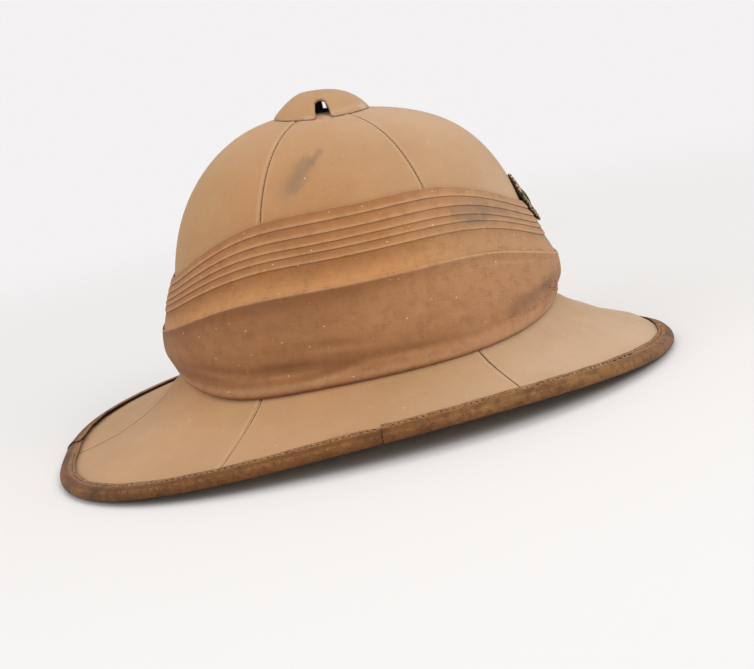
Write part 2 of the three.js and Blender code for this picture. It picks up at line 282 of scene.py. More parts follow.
def merge(piece):
    work = bmesh.new()
    work.from_mesh(piece.data)
    bmesh.ops.remove_doubles(work, verts=work.verts, dist=1e-6)
    work.to_mesh(piece.data)
    work.free()


# a wired socket whose sums add Math nodes, in materials and in Geometry Nodes
class Wire:
    def __init__(self, tree, socket=None):
        self.tree = tree
        self.socket = socket

    def add(self, kind, settings=None, inputs=None, out=0):
        node = self.tree.nodes.new(kind)
        for key, value in (settings or {}).items():
            setattr(node, key, value)
        for key, value in (inputs or {}).items():
            socket = node.inputs[key]
            if isinstance(value, Wire):
                self.tree.links.new(value.socket, socket)
            else:
                isColor = socket.type == "RGBA" and len(value) == 3
                socket.default_value = (*value, 1.0) if isColor else value
        return Wire(self.tree, node.outputs[out])

    def sum(self, operation, first, second=0.0):
        return self.add("ShaderNodeMath", {"operation": operation}, {0: first, 1: second})

    def wave(self):
        return self.sum("SINE", self)

    def vector(self, operation, inputs, out=0):
        return self.add("ShaderNodeVectorMath", {"operation": operation}, inputs, out)

    def between(self, low, high):
        return self.add("ShaderNodeMapRange", {"interpolation_type": "SMOOTHSTEP"},
                        {"Value": self, "From Min": low, "From Max": high})

    # this value as the share of the second colour
    def mix(self, first, second):
        return self.add("ShaderNodeMix", {"data_type": "RGBA"}, {0: self, 6: first, 7: second}, 2)

    def noise(self, scale, detail=2.0, roughness=0.5):
        return self.add("ShaderNodeTexNoise", {},
                        {"Vector": self, "Scale": scale, "Detail": detail, "Roughness": roughness})

    def axis(self, number):
        return self.add("ShaderNodeSeparateXYZ", {}, {0: self}, number)

    def stretch(self, *scale):
        return self.add("ShaderNodeMapping", {}, {"Vector": self, "Scale": scale})

    def attribute(self, name):
        return self.add("ShaderNodeAttribute", {"attribute_name": name}, {}, 2)

    def bump(self, strength, distance):
        return self.add("ShaderNodeBump", {}, {"Strength": strength, "Distance": distance, "Height": self})


# sums with a number or a socket on either side
for sign, operation in (("add", "ADD"), ("sub", "SUBTRACT"), ("mul", "MULTIPLY"), ("truediv", "DIVIDE")):
    setattr(Wire, f"__{sign}__", lambda self, other, way=operation: self.sum(way, self, other))
    setattr(Wire, f"__r{sign}__", lambda self, other, way=operation: self.sum(way, other, self))


# Geometry Nodes: every tree is built here, and its result is turned into a plain mesh
def startTree(name, inputs):
    tree = bpy.data.node_groups.new(name, "GeometryNodeTree")
    for label, kind in [("Geometry", "Geometry"), *inputs]:
        tree.interface.new_socket(label, in_out="INPUT", socket_type="NodeSocket" + kind)
    tree.interface.new_socket("Geometry", in_out="OUTPUT", socket_type="NodeSocketGeometry")
    given = tree.nodes.new("NodeGroupInput").outputs
    return Wire(tree), {label: Wire(tree, given[label]) for label in ["Geometry", *dict(inputs)]}


def endTree(wire, shape, finish):
    real = wire.add("GeometryNodeRealizeInstances", {}, {"Geometry": shape})
    done = wire.add("GeometryNodeSetMaterial", {}, {"Geometry": real, "Material": finish})
    wire.tree.links.new(done.socket, wire.tree.nodes.new("NodeGroupOutput").inputs[0])
    return wire.tree


def keptVector(wire, name):
    return wire.add("GeometryNodeInputNamedAttribute", {"data_type": "FLOAT_VECTOR"}, {"Name": name})


# thickness inwards from an open face, along the direction kept at each point
def makeWallTree():
    wire, given = startTree("wall", [("Thickness", "Float"), ("Finish", "Material")])
    offset = wire.vector("SCALE", {0: keptVector(wire, "inward"), "Scale": given["Thickness"]})
    pushed = wire.add("GeometryNodeExtrudeMesh", {"mode": "FACES"},
                      {"Mesh": given["Geometry"], "Offset": offset, "Offset Scale": 1.0, "Individual": False})
    turned = wire.add("GeometryNodeFlipFaces", {}, {"Mesh": pushed})
    joined = wire.add("GeometryNodeJoinGeometry", {}, {0: given["Geometry"]})
    wire.tree.links.new(turned.socket, joined.socket.node.inputs[0])
    merged = wire.add("GeometryNodeMergeByDistance", {}, {"Geometry": joined, "Distance": 1e-6})
    return endTree(wire, merged, given["Finish"])


# one small rounded bit at each point, laid along its "along" and standing on its "outward"
def makeRowTree():
    wire, given = startTree("row", [(label, "Float") for label in ("Length", "Width", "Height", "Uneven")]
                            + [("Seed", "Int"), ("Sides", "Int"), ("Finish", "Material")])
    stand = wire.add("FunctionNodeAlignRotationToVector", {"axis": "Z"}, {"Vector": keptVector(wire, "outward")})
    lay = wire.add("FunctionNodeAlignRotationToVector", {"axis": "X", "pivot_axis": "Z"},
                   {"Rotation": stand, "Vector": keptVector(wire, "along")})
    chance = wire.add("FunctionNodeRandomValue", {"data_type": "FLOAT"},
                      {2: 1 - given["Uneven"], 3: 1 + given["Uneven"], "Seed": given["Seed"]}, 1)
    scale = wire.add("ShaderNodeCombineXYZ", {},
                     {0: given["Length"] * chance, 1: given["Width"], 2: given["Height"]})
    bit = wire.add("GeometryNodeMeshUVSphere", {}, {"Segments": given["Sides"], "Rings": 4, "Radius": 0.5})
    smooth = wire.add("GeometryNodeSetShadeSmooth", {}, {0: bit})
    placed = wire.add("GeometryNodeInstanceOnPoints", {},
                      {"Points": given["Geometry"], "Instance": smooth, "Rotation": lay, "Scale": scale})
    return endTree(wire, placed, given["Finish"])


def grow(piece, tree, inputs):
    modifier = piece.modifiers.new("grow", "NODES")
    modifier.node_group = tree
    for item in tree.interface.items_tree:
        if item.in_out == "INPUT" and item.name in inputs:
            modifier[item.identifier] = inputs[item.name]
    bpy.context.view_layer.update()
    graph = bpy.context.evaluated_depsgraph_get()
    mesh = bpy.data.meshes.new_from_object(piece.evaluated_get(graph), preserve_all_data_layers=True, depsgraph=graph)
    piece.modifiers.remove(modifier)
    old, piece.data = piece.data, mesh
    mesh.name = old.name
    bpy.data.meshes.remove(old)


def finishPiece(piece, nodes=(), material=None):
    if material is not None:
        piece.data.materials.clear()
        piece.data.materials.append(material)
    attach(piece, "root")
    if nodes:
        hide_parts(*nodes)
    return piece


# a row of small bits; its size is length, width, height, unevenness, seed and sides
def rowPiece(name, spots, along, outward, size, slot, finish, rub=None):
    piece = newPiece(name, spots, values={"along": along, "outward": outward})
    sizes = [*(v * mm for v in size[:3]), *size[3:], finish]
    grow(piece, rowTree, dict(zip(("Length", "Width", "Height", "Uneven", "Seed", "Sides", "Finish"), sizes)))
    if rub is not None:
        layer = piece.data.attributes.new("rubbed", "FLOAT", "POINT")
        layer.data.foreach_set("value", np.full(len(piece.data.vertices), rub, np.float32))
    return finishPiece(piece)


def flatSize(wide, tall):
    return round(float(wide) * mm, 3), round(float(tall) * mm, 3)


wallTree = makeWallTree()
rowTree = makeRowTree()


# Materials: each starts with its shader and the object's coordinates
def newFinish(name, roughness, **fixed):
    material = bpy.data.materials.new(name)
    material.use_nodes = True
    shader = material.node_tree.nodes["Principled BSDF"]
    shader.inputs["Roughness"].default_value = roughness
    for key, value in fixed.items():
        shader.inputs[key.replace("_", " ")].default_value = value
    return material, shader, Wire(material.node_tree).add("ShaderNodeTexCoord", {}, {}, 3)


def feed(shader, **sockets):
    for key, value in sockets.items():
        value.tree.links.new(value.socket, shader.inputs[key.replace("_", " ")])


def clothMap(where):
    uv = where.add("ShaderNodeUVMap", {"uv_map": "cloth"})
    return uv, uv.axis(0), uv.axis(1)


# distance in metres from a line between two points of the object
def fromLine(where, start, end):
    start, end = Vector(start) * mm, Vector(end) * mm
    span = end - start
    away = where.vector("SUBTRACT", {0: where, 1: start})
    along = where.vector("DOT_PRODUCT", {0: away, 1: span / span.length_squared}, 1)
    foot = where.vector("SCALE", {0: span, "Scale": where.add("ShaderNodeClamp", {}, {"Value": along})})
    return where.vector("LENGTH", {0: where.vector("SUBTRACT", {0: away, 1: foot})}, 1)


# a soiled streak between two places on the cover, ragged where the cloth is patchy
def soilOn(where, patchy, mark, proud, ragged, least):
    start, end, size, strength = mark
    far = fromLine(where, onCover(start, proud), onCover(end, proud)) + (patchy - 0.5) * (size * ragged)
    return (1 - far.between(size * 0.1, size)) * (least + patchy * 0.7) * strength


# small pale specks scattered over the cloth, one in the cells whose chance is over the limit
def lintOn(uv, scale, limit):
    cells = {"Vector": uv, "Scale": scale, "Randomness": 1.0}
    speck, pick = (uv.add("ShaderNodeTexVoronoi", {"voronoi_dimensions": "2D"}, cells, out) for out in (0, 1))
    chosen, size = (uv.add("ShaderNodeSeparateColor", {}, {0: pick}, out) for out in (0, 1))
    return (1 - (speck / (size * 0.07 + 0.035)).between(0.7, 1.1)) * chosen.between(limit, limit + 0.005)


clothSheen = {"Sheen_Weight": 0.12, "Sheen_Roughness": 0.5}
twill = {
    "tan": (0.50, 0.275, 0.125),
    "deep": (0.43, 0.215, 0.088),
    "olive": (0.46, 0.28, 0.12),
    # pale tone for sun fading and worn edges, also used as painted light on the lit front
    "bleachedAndLit": (0.60, 0.41, 0.265),
    # pale chalky tone for lint and dust, also used as painted sheen near the top
    "chalkyAndSheen": (0.72, 0.58, 0.48),
    "shadow": (0.22, 0.11, 0.05),
    "smudge": (0.185, 0.135, 0.098),
    "lint": 18.0,  # cells in 100 mm
    "pitch": 0.95,  # millimetres between the diagonal ribs
    "weftShare": 0.6,
    "lineTurn": 60,  # degrees from level, down to the right
    "ribShade": 0.36,
    "dustAndSheenRing": (0.0265, 0.033),  # metres from the crown's axis, at the cap's foot, where dust and painted sheen lie
    "smudges": [  # heading and height of both ends, half width in metres, strength
        ((-115, 134), (-107, 144), 0.0090, 0.6),
        ((-101.5, 145), (-97.3, 149.6), 0.0032, 1.2),
        ((-110, 135.5), (-104, 145.5), 0.0070, 1.1),
    ],
}


def makeTwill():
    material, shader, where = newFinish("coverTwill", 0.9, **clothSheen, Specular_IOR_Level=0.15)
    uv, across, down = clothMap(where)
    x, z = where.axis(0), where.axis(2)
    slant, level = math.sin(math.radians(twill["lineTurn"])), math.cos(math.radians(twill["lineTurn"]))
    perMap = 200 * math.pi / twill["pitch"]
    ribs = ((across * slant - down * level + where.noise(60) * 0.02) * perMap).wave()
    weft = ((across * level + down * slant) * (perMap / twill["weftShare"])).wave()
    blotch = where.noise(17, 4, 0.6).between(0.32, 0.72)
    cloudy = where.noise(55, 3, 0.6).between(0.3, 0.75)
    grain = where.noise(900, 2, 0.6)
    patchy = where.noise(210, 4, 0.65)
    color = (blotch * 0.5 + cloudy * 0.35).mix(twill["tan"], twill["deep"])
    color = (where.noise(11).between(0.4, 0.62) * 0.5).mix(color, twill["olive"])
    # paler towards the front, in a band round the upper crown and low on the brim: partly sun fading, partly painted
    # light on the lit front and painted sheen on the upper crown
    sunAndLight = x.between(-0.01, 0.125) * 0.9 + z.between(0.135, 0.172) * 0.15 + (1 - z.between(0.015, 0.04)) * 0.35
    color = (sunAndLight * (0.6 + blotch * 0.4)).mix(color, twill["bleachedAndLit"])
    # the front of the upper crown paler still: partly sun fading, partly painted highlight
    color = (x.between(-0.02, 0.10) * z.between(0.115, 0.165) * 0.4).mix(color, twill["bleachedAndLit"])
    # chalky pale patches on the upper crown and round the cap's foot: partly dust and bleaching, partly painted sheen
    upperChalkAndSheen = z.between(0.138, 0.163) * (1 - z.between(0.1655, 0.168)) * (0.02 + blotch * 0.06 + patchy * 0.08)
    axis = [(helmet["axisX"], 0.0, height) for height in (150.0, 180.0)]
    dustAndSheen = (1 - fromLine(where, *axis).between(*twill["dustAndSheenRing"])) * (1 - z.between(0.1655, 0.1675))
    color = (upperChalkAndSheen + dustAndSheen * patchy.between(0.4, 0.65) * 0.35).mix(color, twill["chalkyAndSheen"])
    shown = where.noise(24).between(0.25, 0.7) * 0.7 + 0.3
    shade = (0.5 - ribs * 0.5) * shown * twill["ribShade"] + grain * 0.08 + patchy.between(0.5, 0.8) * 0.08
    color = shade.mix(color, twill["shadow"])
    color = (where.attribute("rubbed") * (0.1 + patchy * 0.4)).mix(color, twill["bleachedAndLit"])
    for mark in twill["smudges"]:
        soiled = soilOn(where, patchy, mark, 0.0, 1.7, 0.3) * (0.64 - ribs * 0.36)
        color = soiled.mix(color, twill["smudge"])
    color = (lintOn(uv, twill["lint"], 0.965) * 0.5).mix(color, twill["chalkyAndSheen"])
    height = ribs * 0.6 + weft * 0.2 + grain * 0.6 + where.noise(48, 3) * 3.0
    feed(shader, Base_Color=color, Normal=height.bump(0.35, 0.0003))
    return material


folded = {
    "freshAndShaded": (0.31, 0.13, 0.045),  # in the tucks and under the folds: painted shade, with the less faded cloth there too
    "worn": (0.555, 0.268, 0.102),
    "bleachedAndLit": (0.44, 0.265, 0.145),
    "edge": (0.76, 0.52, 0.32),
    "shadow": (0.15, 0.065, 0.028),
    "soil": (0.17, 0.125, 0.095),
    "soils": [  # heading and height of both ends, half width in metres, strength
        ((-50, 103), (-41, 103.5), 0.010, 0.75),
        ((-40, 99.5), (-31, 97), 0.007, 0.75),
        ((-47, 98), (-43, 96), 0.005, 0.95),
    ],
    "soilProud": 5.0,
    "sunAndLight": 0.25,
    "lint": 23.0,  # cells in 100 mm
    "threads": 1.1,  # threads in a millimetre
}
wrapped = {
    "freshAndShaded": (0.24, 0.10, 0.038),
    "worn": (0.46, 0.225, 0.10),
    "bleachedAndLit": (0.48, 0.26, 0.13),
    "edge": (0.66, 0.42, 0.24),
    "shadow": (0.12, 0.052, 0.022),
    "soil": (0.15, 0.085, 0.05),
    "soils": [
        ((-43, 46), (-24, 51), 0.008, 0.8),
        ((-24, 51), (-12, 55), 0.008, 0.6),
        ((-126, 78), (-118, 78.5), 0.006, 0.4),
        ((-125, 43), (-112, 42), 0.004, 0.4),
    ],
    "soilProud": 10.8,
    "sunAndLight": 0.55,
    "lint": 21.0,
    "threads": 1.0,
}
paleLint = (0.78, 0.58, 0.42)


def makePlainWeave(name, cloth):
    material, shader, where = newFinish(name, 0.92, **clothSheen, Specular_IOR_Level=0.12)
    uv, across, down = clothMap(where)
    x = where.axis(0)
    perMap = 200 * math.pi * cloth["threads"]
    weave = (across * perMap).wave() * (down * perMap).wave()
    weftSlub = uv.stretch(9.0, 130.0, 1.0).noise(1.0, 3, 0.6)
    warpSlub = uv.stretch(120.0, 13.0, 1.0).noise(1.0, 3, 0.6)
    blotch = where.noise(26, 4, 0.6)
    grain = where.noise(900, 2, 0.6)
    mottle = where.noise(170, 4, 0.65)
    patchy = where.noise(150, 4, 0.65)
    # painted shade with fading: the mix runs from a dark tone in the tucks, under the folds and in the creases to the
    # paler worn tone on the free, lit faces
    worn = where.attribute("fadeAndShade") + x.between(-0.06, 0.12) * cloth["sunAndLight"]
    worn = (worn + (blotch - 0.5) * 0.5 + (weftSlub - 0.5) * 0.35).between(0.0, 1.0)
    color = worn.mix(cloth["freshAndShaded"], cloth["worn"])
    # paler towards the front: partly sun fading, partly painted light on the lit side
    color = (x.between(0.01, 0.10) * (0.4 + blotch * 0.6)).mix(color, cloth["bleachedAndLit"])
    color = (where.attribute("rubbed") * (0.4 + weftSlub * 0.9)).mix(color, cloth["edge"])
    cracks = (warpSlub.between(0.52, 0.75) * 0.26 + weftSlub.between(0.5, 0.72) * 0.34) * mottle.between(0.35, 0.65)
    shade = (0.5 - weave * 0.5) * 0.10 + grain * 0.10 + cracks + mottle.between(0.4, 0.75) * 0.16
    color = shade.mix(color, cloth["shadow"])
    for mark in cloth["soils"]:
        color = soilOn(where, patchy, mark, cloth["soilProud"], 1.6, 0.15).mix(color, cloth["soil"])
    color = (lintOn(uv, cloth["lint"], 0.92) * 0.65).mix(color, paleLint)
    height = weave * 0.3 + grain * 0.5 + weftSlub * 0.8 + warpSlub * 0.7
    feed(shader, Base_Color=color, Normal=height.bump(0.4, 0.0003))
    return material


leather = {
    "dark": (0.065, 0.023, 0.005),
    "brown": (0.195, 0.074, 0.017),
    "fadedAndLit": (0.35, 0.172, 0.066),  # towards the front: partly sun fading, partly painted light on the lit side
    "scuffed": (0.37, 0.195, 0.088),
    "fleck": (0.55, 0.40, 0.29),
    # painted shadow along the cut edge and painted shade under the fold
    "edge": (0.055, 0.026, 0.012),
}


def makeLeather():
    material, shader, where = newFinish("bindingLeather", 0.6, Specular_IOR_Level=0.2)
    blotch = where.noise(45, 4, 0.65)
    fine = where.noise(420, 4, 0.7)
    crinkle = where.noise(230, 4, 0.65)
    speckle = where.noise(800, 3, 0.7).between(0.56, 0.7)
    fleck = where.noise(620, 3, 0.65).between(0.57, 0.66)
    cells = where.add("ShaderNodeTexVoronoi", {"feature": "DISTANCE_TO_EDGE"}, {"Vector": where, "Scale": 1100.0})
    rub = where.attribute("rubbed")
    color = blotch.between(0.12, 0.66).mix(leather["dark"], leather["brown"])
    # paler towards the front: partly sun fading, partly painted light
    color = (where.axis(0).between(-0.02, 0.1) * blotch.between(0.2, 0.7) * 0.65).mix(color, leather["fadedAndLit"])
    scuff = (rub * 0.75 + (blotch - 0.5) * 0.6 + (fine - 0.5) * 1.4).between(0.15, 0.75) * (0.25 + rub * 0.6)
    color = scuff.mix(color, leather["scuffed"])
    color = (crinkle.between(0.5, 0.62) * 0.38).mix(color, leather["dark"])
    color = (speckle * 0.55).mix(color, leather["dark"])
    color = (fleck * rub.between(0.3, 0.8) * 0.6).mix(color, leather["fleck"])
    color = (0 - rub).between(0.1, 0.6).mix(color, leather["edge"])  # rub below nothing is painted shade: a painted shadow along the cut edge against the cloth, and painted shade under the fold
    height = cells.between(0.0, 0.25) * 0.5 + fine * 0.8 - crinkle.between(0.45, 0.65) * 1.2
    feed(shader, Base_Color=color, Roughness=0.42 + scuff * 0.3 + fine * 0.15, Normal=height.bump(0.8, 0.0005))
    return material


pith = {"pale": (0.62, 0.50, 0.33), "deep": (0.44, 0.32, 0.19), "pit": (0.30, 0.21, 0.12)}


def makePith():
    material, shader, where = newFinish("mouldedPith", 0.9, Specular_IOR_Level=0.15)
    fibre = where.stretch(1.0, 1.0, 4.0).noise(90, 5, 0.65)
    pits = where.add("ShaderNodeTexVoronoi", {}, {"Vector": where, "Scale": 420.0})
    color = fibre.between(0.3, 0.75).mix(pith["pale"], pith["deep"])
    color = ((1 - pits.between(0.05, 0.3)) * 0.35).mix(color, pith["pit"])
    feed(shader, Base_Color=color, Normal=(fibre * 0.7 + pits * 0.5).bump(0.4, 0.0006))
    return material


threads = {  # two colours of each twist
    # dark thread in the seam grooves, also painted shade of the grooves
    "seamThreadAndShade": ((0.22, 0.105, 0.042), (0.13, 0.06, 0.025)),
    "brimThread": ((0.54, 0.32, 0.16), (0.45, 0.255, 0.12)),
    "bindingThread": ((0.34, 0.22, 0.13), (0.18, 0.11, 0.06)),
    # painted shade: brown dots stand for the stitch holes of the rear brim seams
    "brimHoleShade": ((0.36, 0.205, 0.10), (0.26, 0.14, 0.065)),
    # painted shade: near-black bits stand for the dark insides of the needle holes and torn slits
    "holeShade": ((0.018, 0.010, 0.006), (0.010, 0.006, 0.004)),
    "frayThread": ((0.36, 0.18, 0.08), (0.13, 0.06, 0.027)),
    "strayThread": ((0.80, 0.26, 0.07), (0.62, 0.17, 0.04)),
}


def makeThread(name):
    material, shader, where = newFinish(name, 0.8, Specular_IOR_Level=0.2)
    feed(shader, Base_Color=where.noise(1400).between(0.3, 0.7).mix(*threads[name]))
    return material


def makeMetal(name, dark, bright, share):
    material, shader, where = newFinish(name, 0.4)
    tarnish = where.noise(520, 4, 0.7)
    clean = (where.attribute("rubbed") * 0.9 + (tarnish - 0.5) * 2.2).between(0.3, 0.7) * share
    feed(shader, Base_Color=clean.mix(dark, bright), Roughness=0.62 - clean * 0.3, Metallic=0.35 + clean * 0.6,
         Normal=where.noise(1500, 3, 0.6).bump(0.3, 0.0002))
    return material


coverTwill = makeTwill()
foldCloth = makePlainWeave("foldCloth", folded)
wrapCloth = makePlainWeave("wrapCloth", wrapped)
bindingLeather = makeLeather()
mouldedPith = makePith()
thread = {name: makeThread(name) for name in threads}
stemBrass = makeMetal("stemBrass", (0.035, 0.028, 0.02), (0.20, 0.15, 0.08), 0.5)
badgeBrass = makeMetal("badgeBrass", (0.020, 0.018, 0.015), (0.62, 0.43, 0.19), 0.95)
print("materials made")


# Pith wall under the cover, open below, with the ventilator's hole in its top
shellWall = {"rings": 192, "domeRows": 46, "brimRows": 20, "outerDepth": 1.3, "crownDepth": 5.3, "rimDepth": 3.3}


def makeShell():
    h = turns(shellWall["rings"], np.pi / 2)
    r, z, nr, nz = coverFace(h, shellWall["domeRows"], shellWall["brimRows"])
    inside = np.linspace(shellWall["crownDepth"], shellWall["rimDepth"], r.shape[1])
    outer, inner = (place(r - depth * nr, z - depth * nz, h) for depth in (shellWall["outerDepth"], inside))
    piece = gridPiece("pith_shell", np.concatenate([outer, inner[:, ::-1]], axis=1), ring=True, tube=True)
    finishPiece(piece, ["shell"], mouldedPith)


# Six cloth gores from the ventilator to the brim's edge
gores = {
    "seams": (0, 57, 125, 180, 235, 303, 360),
    # turn of each seam at the crown's foot and at the edge
    "sweeps": ((0, 0), (-0.6, 2.7), (4.3, 0.2), (0, 0), (-4.3, -0.2), (0.6, -2.7), (0, 0)),
    "sweepFrom": 0.72,  # share of the dome above which seams run straight
    "halfGap": 0.3 / 103,
    "domeRows": 84,
    "brimRows": 46,
    "nearSeam": (0, 0.1, 0.25, 0.45, 0.75, 1.15, 1.7, 2.4, 3.3),  # columns by a seam, in degrees
    "step": 1.15,  # degrees between the other columns
    "thickness": 1.0,
    "edgeRoll": 0.45,
    "brimRoll": 0.16,
    "rollWidth": 0.6,
    "lap": 0.22,  # of the edge that lies over its neighbour
    "lapAt": (1.7, 1.2),
    "brimRipple": 0.5,
    "crownRipple": 0.12,
    "calm": 6.0,  # the cloth lies true this near to its seams
    "swell": 1.5,  # where the brim rises before its far front edge
    "sideEase": 0.5,  # less of that rise, away from the front
    "swellAt": (9.2, 2.7),
    # where the brim's look, its ripples and the crown's ripples start, and the millimetres until they are full
    "brimFrom": (4, 8),
    "rippleFrom": (9, 14),
    "crownFrom": (4, 15),
    "capFrom": (30, 25),
}


def goreColumns(start, end):
    near = np.radians(gores["nearSeam"])
    count = max(int((end - start - 2 * near[-1]) / math.radians(gores["step"])), 2)
    middle = np.linspace(start + near[-1], end - near[-1], count + 1)[1:-1]
    return np.concatenate([start + near, middle, end - near[::-1]])


# how far a seam turns aside at each row: none on the crown, then hidden under the puggaree, then on the brim
def seamTurn(index, domeRows, brimRows):
    foot, edge = (math.radians(v) for v in gores["sweeps"][index])
    down = np.linspace(0, 1, domeRows, endpoint=False)
    hidden = foot * ramp(down, gores["sweepFrom"], 1 - gores["sweepFrom"])
    return np.concatenate([hidden, foot + (edge - foot) * np.linspace(0, 1, brimRows)])


def makeGore(index):
    rows = gores["domeRows"], gores["brimRows"]
    start = math.radians(gores["seams"][index]) + gores["halfGap"]
    end = math.radians(gores["seams"][index + 1]) - gores["halfGap"]
    column = goreColumns(start, end)[:, None]
    across = (column - start) / (end - start)
    h = column + seamTurn(index, *rows) * (1 - across) + seamTurn(index + 1, *rows) * across
    r, z, nr, nz = coverFace(h, *rows)
    fromStart, fromEnd, fromRim = (column - start) * r, (end - column) * r, rimRadius(h) - r
    belowWrap = ramp(edgeAt("wrapBottom", h) - z, *gores["brimFrom"])
    onBrim = belowWrap * ramp(fromRim, *gores["rippleFrom"])
    onCrown = ramp(z - edgeAt("foldTop", h), *gores["crownFrom"]) * ramp(r, *gores["capFrom"])
    roll = gores["edgeRoll"] + (gores["brimRoll"] - gores["edgeRoll"]) * belowWrap
    proud = -roll * (hump(fromStart, 0, gores["rollWidth"]) + hump(fromEnd, 0, gores["rollWidth"]))
    proud += gores["lap"] * hump(fromEnd, *gores["lapAt"])
    swell = gores["swell"] * flatEdge(h) - gores["sideEase"] * flatEdge(h, "sideFrom")
    proud += swell * hump(fromRim, *gores["swellAt"])
    ripple = wander(h + 0.012 * r, 11 + index, (5, 11, 17)) * np.sin(r * 0.09 + 3 * h)
    ripple += 0.4 * wander(h - 0.01 * r, 41 + index, (19, 31)) * np.sin(r * 0.17 + 2 * h)
    soft = wander(h + 0.02 * z, 31 + index, (4, 9)) * np.cos(z * 0.07 + 2 * h)
    fromSeam = (1 - hump(fromStart, 0, gores["calm"])) * (1 - hump(fromEnd, 0, gores["calm"]))
    proud += (gores["brimRipple"] * ripple * onBrim + gores["crownRipple"] * soft * onCrown) * fromSeam
    rubbed = hump(fromEnd, 1.2, 0.7) + 0.8 * hump(fromStart, 1.1, 0.6)
    piece = gridPiece(f"cover_gore_{index + 1}", place(r + proud * nr, z + proud * nz, h),
                      values={"inward": direction(-nr, -nz, h), "rubbed": rubbed})
    grow(piece, wallTree, {"Thickness": gores["thickness"] * mm, "Finish": coverTwill})
    finishPiece(piece, [f"cover_panel_{index + 1}"])
    slope = np.hypot(np.diff(r, axis=1), np.diff(z, axis=1))[:-1]
    flat = flatSize(r[:, -1].max() * (end - start), slope.sum(axis=1).max())
    area = (slope * np.diff(column, axis=0) * r[:-1, :-1]).sum() * mm * mm
    return piece.name


makeShell()
goreNames = [makeGore(index) for index in range(6)]
print("shell and cover made")


# Puggaree: folds lapped from the top down, then a broad wrap below them
pleats = [  # share of the height at the free edge, how far the tucked and free edges stand out
    (0.148, 1.4, 2.9),
    (0.295, 2.35, 4.3),
    (0.42, 3.75, 5.4),
    (0.52, 4.85, 6.2),
    (0.638, 5.65, 7.1),
    (1.0, 6.5, 9.2),
]
scarf = {
    "rings": 480,
    "innerRows": 10,
    "against": 0.6,
    "behind": 0.7,  # how far the last fold runs down behind the wrap's lip
    "fold": 0.3,  # radius of a folded edge
    "belly": 0.15,
    "hidden": 0.12,  # how far a fold runs up under the one above
    "tight": 0.15,
    "topWander": 0.2,
    "edgeWander": 0.16,
    "proudWander": 0.07,
    "frontBulge": 1.3,  # how much further the wrap's upper edge and the fold behind it stand out at the front
}
wrap = {
    "rows": 46,
    "sag": (-137.0, 20.0),  # middle heading and half length of the stretch where the lower edge hangs
    "sagDrop": 1.7,
    "bulge": ((0.0, 10.2), (0.2, 11.0), (0.5, 11.1), (0.8, 9.6), (1.0, 2.4)),  # share down, how far it stands out
    # how far the lip stands out, its rise, painted shade with fading, and rubbing
    "lip": ((2.6, -1.3, 0.1, 0.0), (9.2, -1.25, 0.1, 0.0), (9.55, -0.8, 0.2, 0.1), (9.6, 0.05, 0.5, 0.6),
            (9.75, 0.26, 0.7, 0.9), (10.0, 0.2, 0.7, 0.9), (10.2, -0.1, 0.6, 0.7), (10.28, -0.5, 0.4, 0.4)),
    "lipFrom": 9.3,
    "low": ((1.4, 0.15), (0.8, 0.1), (0.6, 0.6)),
    "lipWander": 0.12,
    # painted shade down the wrap's face: dark just under the lip and where it curves in near the lower edge
    "fadeAndShade": ((0, 0.05, 0.16, 0.4, 0.62, 0.8, 0.93, 1), (0.0, 0.02, 0.34, 0.5, 0.42, 0.18, 0.5, 0.25)),
    "rub": ((0, 0.88, 0.95, 1), (0, 0, 0.25, 0)),
    "creases": (  # middle heading and half length in degrees, share down, slope, depth, width as a share
        (-119, 13, 0.79, 0.02, 0.8, 0.045), (-103, 10, 0.88, -0.05, 0.6, 0.045),
        (-76, 15, 0.84, 0.03, 0.45, 0.045), (-52, 12, 0.87, -0.03, 0.4, 0.045),
        (-142, 12, 0.72, 0.05, 0.4, 0.045), (-27, 9, 0.68, -0.09, 1.0, 0.075),
        (-31, 9, 0.86, -0.05, 0.6, 0.05), (-40, 14, 0.13, 0.03, 0.4, 0.045),
        (-101, 9, 0.62, 0.03, 0.35, 0.045), (-60, 11, 0.55, -0.04, 0.3, 0.06),
        (-13, 8, 0.80, 0.05, 0.5, 0.06), (40, 22, 0.82, 0.03, 0.4, 0.05),
        (100, 18, 0.86, -0.03, 0.45, 0.045), (150, 16, 0.78, 0.04, 0.45, 0.045),
        (70, 12, 0.68, 0.05, 0.4, 0.06), (20, 12, 0.7, 0.06, 0.5, 0.06),
    ),
}


def frontPush(h):
    return scarf["frontBulge"] * ramp(math.cos(h), 0.8, 0.15)


# one fold from its crease to its free edge and round it: heights, how far out, painted shade with fading (dark where
# it runs under the fold above and under its rolled edge, paler towards the free edge) and rubbing
def pleatLine(upper, lower, tucked, free, last):
    fold = scarf["fold"]
    t = np.linspace(0, 1, 18) if last else np.append(np.linspace(0, 0.93, 8), 1)
    lowest = lower if last else lower + fold
    height = upper + (lowest - upper) * t
    proud = tucked + (free - tucked) * t + scarf["belly"] * np.sin(np.pi * t)
    if last:
        return np.array([height, proud, np.clip(0.04 + 1.05 * t ** 1.2, 0, 1), np.where(t > 0.93, 0.45, 0.0)])
    turn = np.radians([40, 80, 120, 165])
    face = np.array([height, proud, 0.05 + 0.42 * t, np.interp(t, [0.7, 1.0], [0.0, 0.25])])
    edge = np.array([lowest - fold * np.sin(turn), free - fold + fold * np.cos(turn),
                     [0.65, 0.55, 0.3, 0.1], [0.5, 0.45, 0.15, 0.0]])
    return np.hstack([face, edge])


